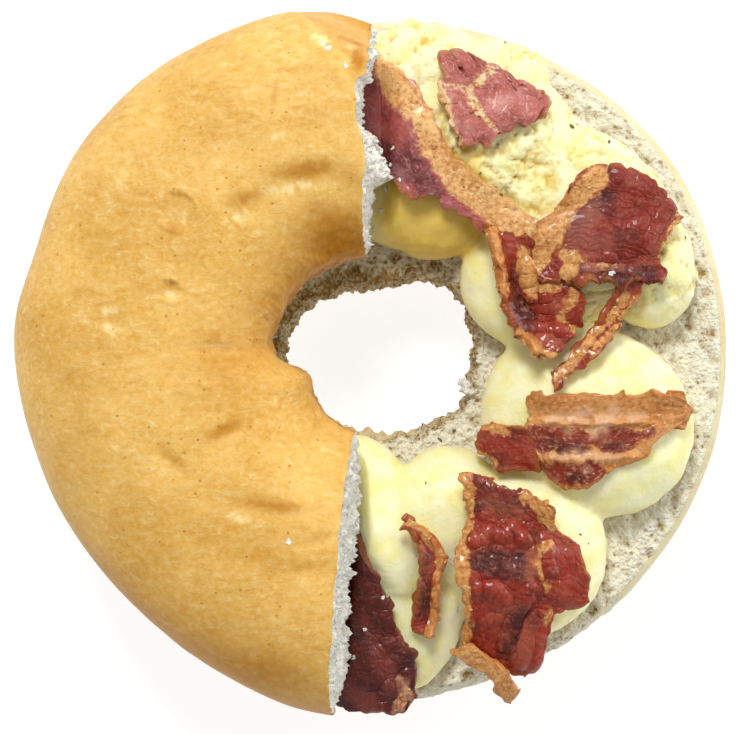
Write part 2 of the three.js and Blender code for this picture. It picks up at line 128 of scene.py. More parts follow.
def blunt_edge(level, bluntness):
    """Half width of a blunted ellipse at a level between its middle, 0, and its crown, 1"""
    return (1 - abs(level) ** bluntness) ** (1 / bluntness)


def base_profile():
    """Closed line round the bread's section, as (place across from -1 to 1, height)"""
    def edge(height, bluntness):
        return blunt_edge((height - BASE_WIDEST) / BASE_BULGE, bluntness)

    foot = (-edge(0, BASE_BLUNT_INSIDE), edge(0, BASE_BLUNT_FOOT))
    face = (edge(BASE_HEIGHT, BASE_BLUNT_RIM), -edge(BASE_HEIGHT, BASE_BLUNT_INSIDE))
    line = []
    for i in range(SIDE_ROWS):
        height = BASE_HEIGHT * i / SIDE_ROWS
        line.append((edge(height, BASE_BLUNT_FOOT if height < BASE_WIDEST else BASE_BLUNT_RIM), height))
    for i in range(FACE_ROWS):
        share = i / FACE_ROWS
        crowded = share - FACE_CROWDING * math.sin(2 * math.pi * share)
        line.append((lerp(face[0], face[1], crowded), BASE_HEIGHT))
    for i in range(SIDE_ROWS):
        height = BASE_HEIGHT * (1 - i / SIDE_ROWS)
        line.append((-edge(height, BASE_BLUNT_INSIDE), height))
    for i in range(FOOT_ROWS):
        line.append((lerp(foot[0], foot[1], i / FOOT_ROWS), 0))
    return line


def bubble_depth(place):
    """How deep a place of the crumb lies in its bubbles"""
    depth = 0
    for spacing, deep, open_share in BUBBLES:
        distance = noise.voronoi(place / spacing)[0][0]
        depth += deep * ramp(distance, open_share, 0.1)
    return depth


def point_layers(form, *names):
    """Number layers on the points of a form, which its material reads as attributes"""
    return [form.verts.layers.float.new(name) for name in names]


def put(form, name):
    """Put a form into the scene as an object"""
    mesh = bpy.data.meshes.new(name)
    form.to_mesh(mesh)
    form.free()
    made = bpy.data.objects.new(name, mesh)
    bpy.context.scene.collection.objects.link(made)
    return made


def settle(form, name, material, slot, *nodes):
    """Bring a form in millimetres into the frame as a finished piece that stands for CAD nodes"""
    place = Matrix.Scale(MM, 4) @ Matrix.Translation(RING_MIDDLE)
    bmesh.ops.transform(form, matrix=place, verts=form.verts)
    for face in form.faces:
        face.smooth = True
    piece = put(form, name)
    piece.data.materials.append(material)
    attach(piece, "root")
    if nodes:
        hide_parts(*nodes)
    return piece


def linear(colour):
    """sRGB hex colour as linear light with full alpha"""
    parts = [int(colour[i:i + 2], 16) / 255 for i in (1, 3, 5)]
    light = [part / 12.92 if part <= 0.04045 else ((part + 0.055) / 1.055) ** 2.4 for part in parts]
    return light + [1]


def per_mm(size):
    """Pattern scale, in patterns to a metre, for features of a size in millimetres"""
    return 1 / (size * MM)


# Outputs that a node's result is read from, where that isn't its first
MAIN_OUTPUTS = {"TexCoord": "Object", "Attribute": "Fac", "TexWave": "Fac", "Mix": 2}


def add(tree, kind, inputs=(), **settings):
    """Add a shader node with its settings, set or link its sockets, and return its main output.
    The inputs are named or numbered, or are values for the first sockets in their order."""
    made = tree.nodes.new("ShaderNode" + kind)
    for name, value in settings.items():
        setattr(made, name, value)
    for socket, value in inputs.items() if isinstance(inputs, dict) else enumerate(inputs):
        if isinstance(value, bpy.types.NodeSocket):
            tree.links.new(value, made.inputs[socket])
        else:
            made.inputs[socket].default_value = value
    return made.outputs[MAIN_OUTPUTS.get(kind, 0)] if len(made.outputs) else None


def new_material(name):
    """Empty material, its node tree, and the place on the object where a pattern is read"""
    material = bpy.data.materials.new(name)
    material.use_nodes = True
    material.node_tree.nodes.clear()
    return material, material.node_tree, add(material.node_tree, "TexCoord")


def bread(name, crust, browned, pale, crumb, crumb_shaded, roughness):
    """Baked white bread: soft egg-washed crust that gives way to open crumb where it is cut or torn.
    The eye gets warm gold with clouds of brown, pin pricks, a soft sheen, and matt fibrous crumb.
    Layers of the form add browning with painted shading, pale scuffs with painted highlights, and
    painted shading in the crumb's pores, bubbles and hollows."""
    material, tree, here = new_material(name)
    browning_and_shade, glow, deep, torn = (
        add(tree, "Attribute", attribute_name=layer) for layer in ("browning_and_shade", "glow", "deep", "crumb")
    )

    # Crust: clouds of baking, fine mottling, and dark pin pricks
    clouds = add(tree, "TexNoise", {"Vector": here, "Scale": per_mm(13), "Detail": 3.0})
    clouds = add(tree, "MapRange", (clouds, 0.36, 0.66), interpolation_type="SMOOTHSTEP")
    drawn = add(tree, "Mapping", {"Vector": here, "Rotation": (0, 0, 0.5), "Scale": (0.7, 1.3, 1)})
    grain = add(tree, "TexNoise", {
        "Vector": drawn, "Scale": per_mm(1.4), "Detail": 6.0, "Roughness": 0.78, "Distortion": 0.6,
    })
    dark_grain = add(tree, "MapRange", (grain, 0.47, 0.33, 0.0, 0.4))
    light_grain = add(tree, "MapRange", (grain, 0.53, 0.67, 0.0, 0.5))
    mottle = add(tree, "TexNoise", {"Vector": here, "Scale": per_mm(0.9), "Detail": 3.0})
    mottle = add(tree, "MapRange", (mottle, 0.3, 0.7, 0.0, 0.25))
    cells = add(tree, "TexVoronoi", {"Vector": here, "Scale": per_mm(1.9)})
    pricks = add(tree, "MapRange", (cells, 0.07, 0.14, 1.0, 0.0))
    chosen = add(tree, "MapRange", (cells.node.outputs["Color"], 0.45, 0.6))
    pricks = add(tree, "Math", (pricks, chosen), operation="MULTIPLY")
    soft_pricks = add(tree, "Math", (pricks, 0.7), operation="MULTIPLY")
    # The last layers bring painted shading and painted highlights: the browning layer holds real
    # browning and painted shading, the pale layer real scuffs and painted highlights
    tone = linear(crust)
    for share, colour in (
        (clouds, lighter(crust, browned)), (mottle, pale), (light_grain, pale),
        (dark_grain, browned), (glow, pale), (browning_and_shade, browned), (soft_pricks, browned),
    ):
        tone = add(tree, "Mix", {0: share, 6: tone, 7: linear(colour)}, data_type="RGBA")

    # Crumb: threads and bubbles, with painted shading in the pores and where the depth layer is high,
    # which holds painted shading in bubbles, hollows, the side of the hole and under the lid
    pores = add(tree, "TexVoronoi", {"Vector": here, "Scale": per_mm(0.95)})
    holes = add(tree, "MapRange", (pores, 0.16, 0.46, 1.0, 0.0))
    opened = add(tree, "MapRange", (pores.node.outputs["Color"], 0.35, 0.65))
    holes = add(tree, "Math", (holes, opened), operation="MULTIPLY")
    threads = add(tree, "TexNoise", {"Vector": here, "Scale": per_mm(0.6), "Detail": 4.0})
    threads = add(tree, "MapRange", (threads, 0.35, 0.68))
    dark = add(tree, "Math", (holes, 0.7, deep), operation="MULTIPLY_ADD")
    dark = add(tree, "Math", (dark, threads), operation="SUBTRACT", use_clamp=True)
    dark = add(tree, "Math", (deep, 0.5, dark), operation="MULTIPLY_ADD", use_clamp=True)
    inside = add(tree, "Mix", {0: dark, 6: linear(crumb), 7: linear(crumb_shaded)}, data_type="RGBA")

    # Where crust ends: the attribute, roughened so that the border is torn and not drawn
    frayed = add(tree, "Math", (threads, 0.3, torn), operation="MULTIPLY_ADD")
    torn = add(tree, "MapRange", (frayed, 0.52, 0.68), interpolation_type="SMOOTHSTEP")
    colour = add(tree, "Mix", {0: torn, 6: tone, 7: inside}, data_type="RGBA")
    dull = add(tree, "MapRange", {0: torn, 3: roughness, 4: 0.92})

    fine = add(tree, "Math", (pricks, -0.5, grain), operation="MULTIPLY_ADD")
    crust_bump = add(tree, "Bump", {"Height": fine, "Distance": 0.22 * MM, "Strength": 0.6})
    open_bump = add(tree, "Math", (threads, holes), operation="SUBTRACT")
    crumb_height = add(tree, "Math", (open_bump, torn), operation="MULTIPLY")
    bump = add(tree, "Bump", {
        "Height": crumb_height, "Distance": 0.35 * MM, "Strength": 0.9, "Normal": crust_bump,
    })
    surface = add(tree, "BsdfPrincipled", {
        "Base Color": colour, "Roughness": dull, "Normal": bump, "Specular IOR Level": 0.2,
        "Subsurface Weight": 0.1, "Subsurface Radius": (1.0, 0.8, 0.6), "Subsurface Scale": 1.0 * MM,
    })
    add(tree, "OutputMaterial", {"Surface": surface})
    return material


def lighter(crust, browned):
    """Hex colour a third of the way from the crust to its browned tone"""
    pairs = [(int(crust[i:i + 2], 16), int(browned[i:i + 2], 16)) for i in (1, 3, 5)]
    return "#" + "".join(f"{round(lerp(a, b, 0.33)):02x}" for a, b in pairs)


base_radius = outline(BASE_OUTLINE)
hole_radius = outline(HOLE_OUTLINE)

base = bmesh.new()
section = base_profile()
bmesh.ops.create_grid(base, x_segments=BASE_STEPS, y_segments=len(section), size=0.5)
crumb, deep, browning_and_shade = point_layers(base, "crumb", "deep", "browning_and_shade")
for point in base.verts:
    turn = 360 * ((point.co.x + 0.5) % 1)
    across, z = section[round((point.co.y + 0.5) * len(section)) % len(section)]
    radius = lerp(hole_radius(turn), base_radius(turn), (across + 1) / 2)
    outwards = polar(turn, 1).to_3d()
    place = outwards * radius + Vector((0, 0, z))
    wander = noise.fractal(place / 5, 0.8, 2, 4)
    jagged = noise.fractal(place / 2.2, 1, 2, 4)
    torn_rim = ramp(abs(turn - TORN_RIM) + 12 * wander, 25, 14) * ramp(z + 5 * wander, 7.5, 12)
    if z == BASE_HEIGHT:
        hollow = bubble_depth(place)
        point[crumb] = 1
        from_hole = radius - hole_radius(turn)
        in_shade = ramp(from_hole, 7, 0) * ramp(abs(turn - SHADED_FACE), 110, 60)
        at_hole = ramp(from_hole, 4, 0)
        # Painted shading in the depth layer: deeper in the bubbles, and strongest on the face near the
        # hole where the lid would cast its shadow
        point[deep] = hollow / 1.3 * (1 - 0.6 * in_shade) + 0.9 * in_shade
        crumbled = 0.25 * (1 + noise.fractal(place / 1.6, 1, 2, 3))
        shift = HOLE_RAGGED * jagged * at_hole
        point.co = place - outwards * shift - Vector((0, 0, hollow + crumbled * (1 + at_hole)))
    elif across < 0:
        ragged = ramp(z, 2, 9)
        shift = HOLE_RAGGED * jagged * ragged
        point[crumb] = max(ramp(z, 14, 16), ragged * ramp(abs(turn - WHOLE_CRUST), 35, 50))
        # Painted shading on the ragged side of the hole, and real browning of its crust
        point[deep] = 0.7 * ragged
        point[browning_and_shade] = 0.4
        point.co = place - outwards * shift
    else:
        point[crumb] = torn_rim
        # Painted shading in the torn crumb of the rim, and a side that is browner towards the foot
        point[deep] = 0.4 * torn_rim
        point[browning_and_shade] = ramp(z + 2.5 * wander, 15, 3) * 0.75
        shift = 0.25 * (1 + noise.noise(place / 11)) * ramp(z, 0.5, 3)
        shift += 0.7 * torn_rim * (0.5 + jagged)
        point.co = place - outwards * shift
bmesh.ops.remove_doubles(base, verts=base.verts, dist=MERGE)
bmesh.ops.recalc_face_normals(base, faces=base.faces)

pale_bread = bread(
    "soft_white_bread", crust="#e8deb2", browned="#cda25c", pale="#f0e9c8", crumb="#fdf9e2",
    crumb_shaded="#b08c48", roughness=0.6,
)
bottom_bread = settle(base, "bottom_bread", pale_bread, "bread_crumb", "bread_base")


# Egg filling
# Pale yellow whipped egg, set down in lobes all round the ring. It is smooth where the spoon left
# it, and pulled up into rough curds at the upper right, where the lid was torn away. Lobes are balls
# pressed flat, melted into one another on a fine grid of voxels, and then roughened.
GAP = 0.3
FILLING_FLOOR = BASE_HEIGHT + GAP
LOBE_MIDDLE = FILLING_FLOOR + 2.6
LOBE_STEPS = 5
VOXEL = 0.51
FILLING_MELT = 4
FLAT = 0.05
CRACK_SEED = Vector((5.1, 8.3, 2.7))
CRUMBLED_HEAP = Vector((21.6, 28))
# Middle of the lobe by the long rasher that is given painted shading
SHADED_LOBE = Vector((10, 24.5))

# Lobes: centre, half width in x and y, height of the crown, and turn in degrees
LOBES = [
    (8.3, 35.7, 18.4, 18.2, 28.4, 0),
    (8, 45.4, 11, 9.6, 25.6, 0),
    (19.5, 43.4, 9, 8.6, 25.4, -15),
    (21, 34.5, 12, 12.4, 27.4, 0),
    (32.5, 21.5, 15.8, 15.6, 28, 0),
    (43.3, 15.4, 8.6, 10, 26.5, 20),
    (10, 27, 10.6, 10.6, 26.6, 0),
    (25, 13.2, 11, 10.8, 26, 0),
    (34.2, -9, 17.4, 15, 28, -25),
    (24, -29.5, 13.4, 13.8, 28, 0),
    (12, -23.6, 9.6, 10.6, 26.6, 0),
    (-3, -25, 10.5, 14, 26.5, 0),
    (2.5, -29, 5.6, 11.5, 27.6, 22),
    (4, -39.8, 10.5, 12, 25, 0),
    (-16, -32, 15.5, 15.5, 28, 0),
    (-32, -14, 16, 16, 28, 0),
    (-33, 12, 16.5, 16.5, 28, 0),
    (-15, 33.5, 16.5, 16.5, 28, 0),
]

# The lid presses the filling, and bacon slips in between the two. Past the line of the lid's torn
# ends both rise again.
LID_UNDERSIDE = 26.6
BACON_ROOM = 1.8
SHEET_CLEARANCE = 0.5
PRESSED_FILLING = LID_UNDERSIDE - GAP
PRESSED_BACON = PRESSED_FILLING - BACON_ROOM - SHEET_CLEARANCE - 0.1
OPEN_SKY = 34


def past_cut(x, y):
    """Distance from the line of the lid's torn ends, positive where the filling is bare"""
    line = -0.7 if y > 0 else -4.1 + 0.058 * (y + 4.1)
    return x - line


def filling_ceiling(x, y):
    """Highest that the filling may stand"""
    past = past_cut(x, y)
    pressed = lerp(PRESSED_FILLING, PRESSED_BACON, ramp(past, -11, -7))
    return lerp(pressed, OPEN_SKY, ramp(past, 2.6, 10))


def tornness(x, y):
    """Where the lid pulled the filling up into curds, from 0 to 1"""
    turn = math.degrees(math.atan2(y, x))
    return ramp(math.hypot(x, y), 26, 33) * ramp(turn, 6, 18) * ramp(turn, 96, 88)


def curds(place, strength):
    """Rise of the surface over the smooth filling, and how deep it lies in a crevice"""
    swell = 0.25 * noise.noise(place / 5.5) + 0.18 * noise.noise(place / 2.4)
    swell += 0.1 * noise.noise(place / 1.2)
    drift = 1.3 * Vector((noise.noise(place / 2), noise.noise(place / 2 + CRACK_SEED), 0))
    from_heap = (place.xy - CRUMBLED_HEAP).length
    crumbly = max(0.8 * ramp(noise.noise(place / 5.2), -0.3, 0.2), ramp(from_heap, 10, 5))
    broken = 1.05 * noise.fractal((place + drift) / 2.3, 0.75, 2.1, 4)
    crack = ramp(abs(noise.noise((place + drift) / 4.1 + CRACK_SEED)), 0.06, 0)
    torn = 0.9 * noise.noise(place / 4.6) - 0.35 + crumbly * broken - 0.8 * crack
    # Painted shading in the crevices of the curds
    crevice = 0.6 * ramp(-crumbly * broken, 0, 0.4) + 0.5 * crack
    return lerp(swell, min(torn, 0.6), strength), crevice * strength


def ball(form, steps, middle, turn, half_widths):
    """Add a squashed ball, turned about the upright, to a form, and return its points"""
    turned = Matrix.Rotation(turn, 3, "Z").to_quaternion()
    place = Matrix.LocRotScale(Vector(middle), turned, Vector(half_widths))
    return bmesh.ops.create_icosphere(form, subdivisions=steps, radius=1, matrix=place)["verts"]


lobes = bmesh.new()
for x, y, rx, ry, top, turn in LOBES:
    ball(lobes, LOBE_STEPS, (x, y, LOBE_MIDDLE), math.radians(turn), (rx, ry, top - LOBE_MIDDLE))
lobe_balls = put(lobes, "lobes")
melt = lobe_balls.modifiers.new("melt", "REMESH")
melt.mode = "VOXEL"
melt.voxel_size = VOXEL
filling = bmesh.new()
filling.from_object(lobe_balls, bpy.context.evaluated_depsgraph_get())
bpy.data.meshes.remove(lobe_balls.data)

for point in filling.verts:
    point.co.z = max(point.co.z, FILLING_FLOOR)
unmelted = [point.co.copy() for point in filling.verts]
for smoothing in range(FILLING_MELT):
    bmesh.ops.smooth_vert(
        filling, verts=filling.verts, factor=0.5, use_axis_x=True, use_axis_y=True, use_axis_z=True,
    )
filling.normal_update()
bacon_bed = BVHTree.FromBMesh(filling)
rough, hollow = point_layers(filling, "rough", "hollow")
for point, before in zip(filling.verts, unmelted):
    x, y, z = point.co
    strength = tornness(x, y)
    above = ramp(z, FILLING_FLOOR, FILLING_FLOOR + 2)
    point[rough] = strength
    rise, crevice = curds(point.co, strength)
    # The hollow layer is painted shading in a deeper yellow: in the crevices of the curds, in the
    # creases where lobes meet, over one lobe by the long rasher, and round the feet of the lobes
    crease_shade = 0.9 * ramp((point.co - before).dot(point.normal), 0.03, 0.3) * above
    lobe_shade = 0.85 * ramp((point.co.xy - SHADED_LOBE).length, 12, 7)
    foot = 0.7 * ramp(z, FILLING_FLOOR + 4.5, FILLING_FLOOR)
    point[hollow] = min(1, crevice + crease_shade + lobe_shade + foot)
    point.co += point.normal * rise * above
for point in filling.verts:
    x, y, z = point.co
    point.co.z = FILLING_FLOOR if z < FILLING_FLOOR + FLAT else min(z, filling_ceiling(x, y))
underside = [point for point in filling.verts if point.co.z == FILLING_FLOOR]
hidden = {edge for point in underside for edge in point.link_edges}
bmesh.ops.dissolve_limit(filling, angle_limit=0.001, verts=underside, edges=list(hidden))
bmesh.ops.recalc_face_normals(filling, faces=filling.faces)


def whipped_egg():
    """Egg beaten with mayonnaise: moist, dense and slightly see-through, so light goes in at thin
    edges, and the hollows are painted a deeper yellow as shading. Tiny air bubbles and a soft wet gloss."""
    material, tree, here = new_material("whipped_egg")
    rough, hollow = (add(tree, "Attribute", attribute_name=layer) for layer in ("rough", "hollow"))
    patches = add(tree, "TexNoise", {"Vector": here, "Scale": per_mm(3.5), "Detail": 6.0})
    patches = add(tree, "MapRange", (patches, 0.38, 0.64))
    grains = add(tree, "TexNoise", {"Vector": here, "Scale": per_mm(0.7), "Detail": 3.0})
    flecked = add(tree, "MapRange", (grains, 0.55, 0.72, 0.0, 0.5))
    tone = linear("#fffbcb")
    # Painted shading: the hollow layer turns the egg a deeper yellow
    for share, colour in ((patches, "#faf0a4"), (flecked, "#fdfadf"), (hollow, "#e2be44")):
        tone = add(tree, "Mix", {0: share, 6: tone, 7: linear(colour)}, data_type="RGBA")
    coarse = add(tree, "Math", (rough, 0.7), operation="ADD")
    height = add(tree, "Math", (grains, coarse), operation="MULTIPLY")
    bump = add(tree, "Bump", {"Height": height, "Distance": 0.3 * MM, "Strength": 0.6})
    surface = add(tree, "BsdfPrincipled", {
        "Base Color": tone, "Roughness": 0.42, "IOR": 1.42, "Normal": bump, "Specular IOR Level": 0.45,
        "Subsurface Weight": 0.5, "Subsurface Radius": (1.0, 0.82, 0.35), "Subsurface Scale": 2.2 * MM,
    })
    add(tree, "OutputMaterial", {"Surface": surface})
    return material


egg_filling = settle(filling, "egg_filling_lobes", whipped_egg(), "egg_filling", "filling")


# Bacon
# Torn pieces of fried streaky bacon, laid on the filling. Lean meat is dark red and wet with fat,
# and the streaks of fat have fried to tan. Each piece is a grid between four sides, dropped onto
# the filling as a stiff sheet that bridges its hollows, and then given its thickness.
BASE_SHOULDER = 4
STIFFNESS = 20
DROOP = 0.5
THREAD = 0.42
BEND_STEP = 1.8
SOFT_BEND = 1.5
BACON_THICKNESS = 1.4
SKY = 60
DOWN = Vector((0, 0, -1))
NO_OFFSET = Vector()
OFFSET = Vector((31.7, 12.3, 7.9))

# Blender draws the offsets of noise_vector from the clock unless it is given a seed
noise.seed_set(1)

# Sharp wrinkles of the fried lean, as (spacing, height, share of the spacing that is raised)
WRINKLES = [(5.2, 0.4, 0.09), (2, 0.26, 0.12)]

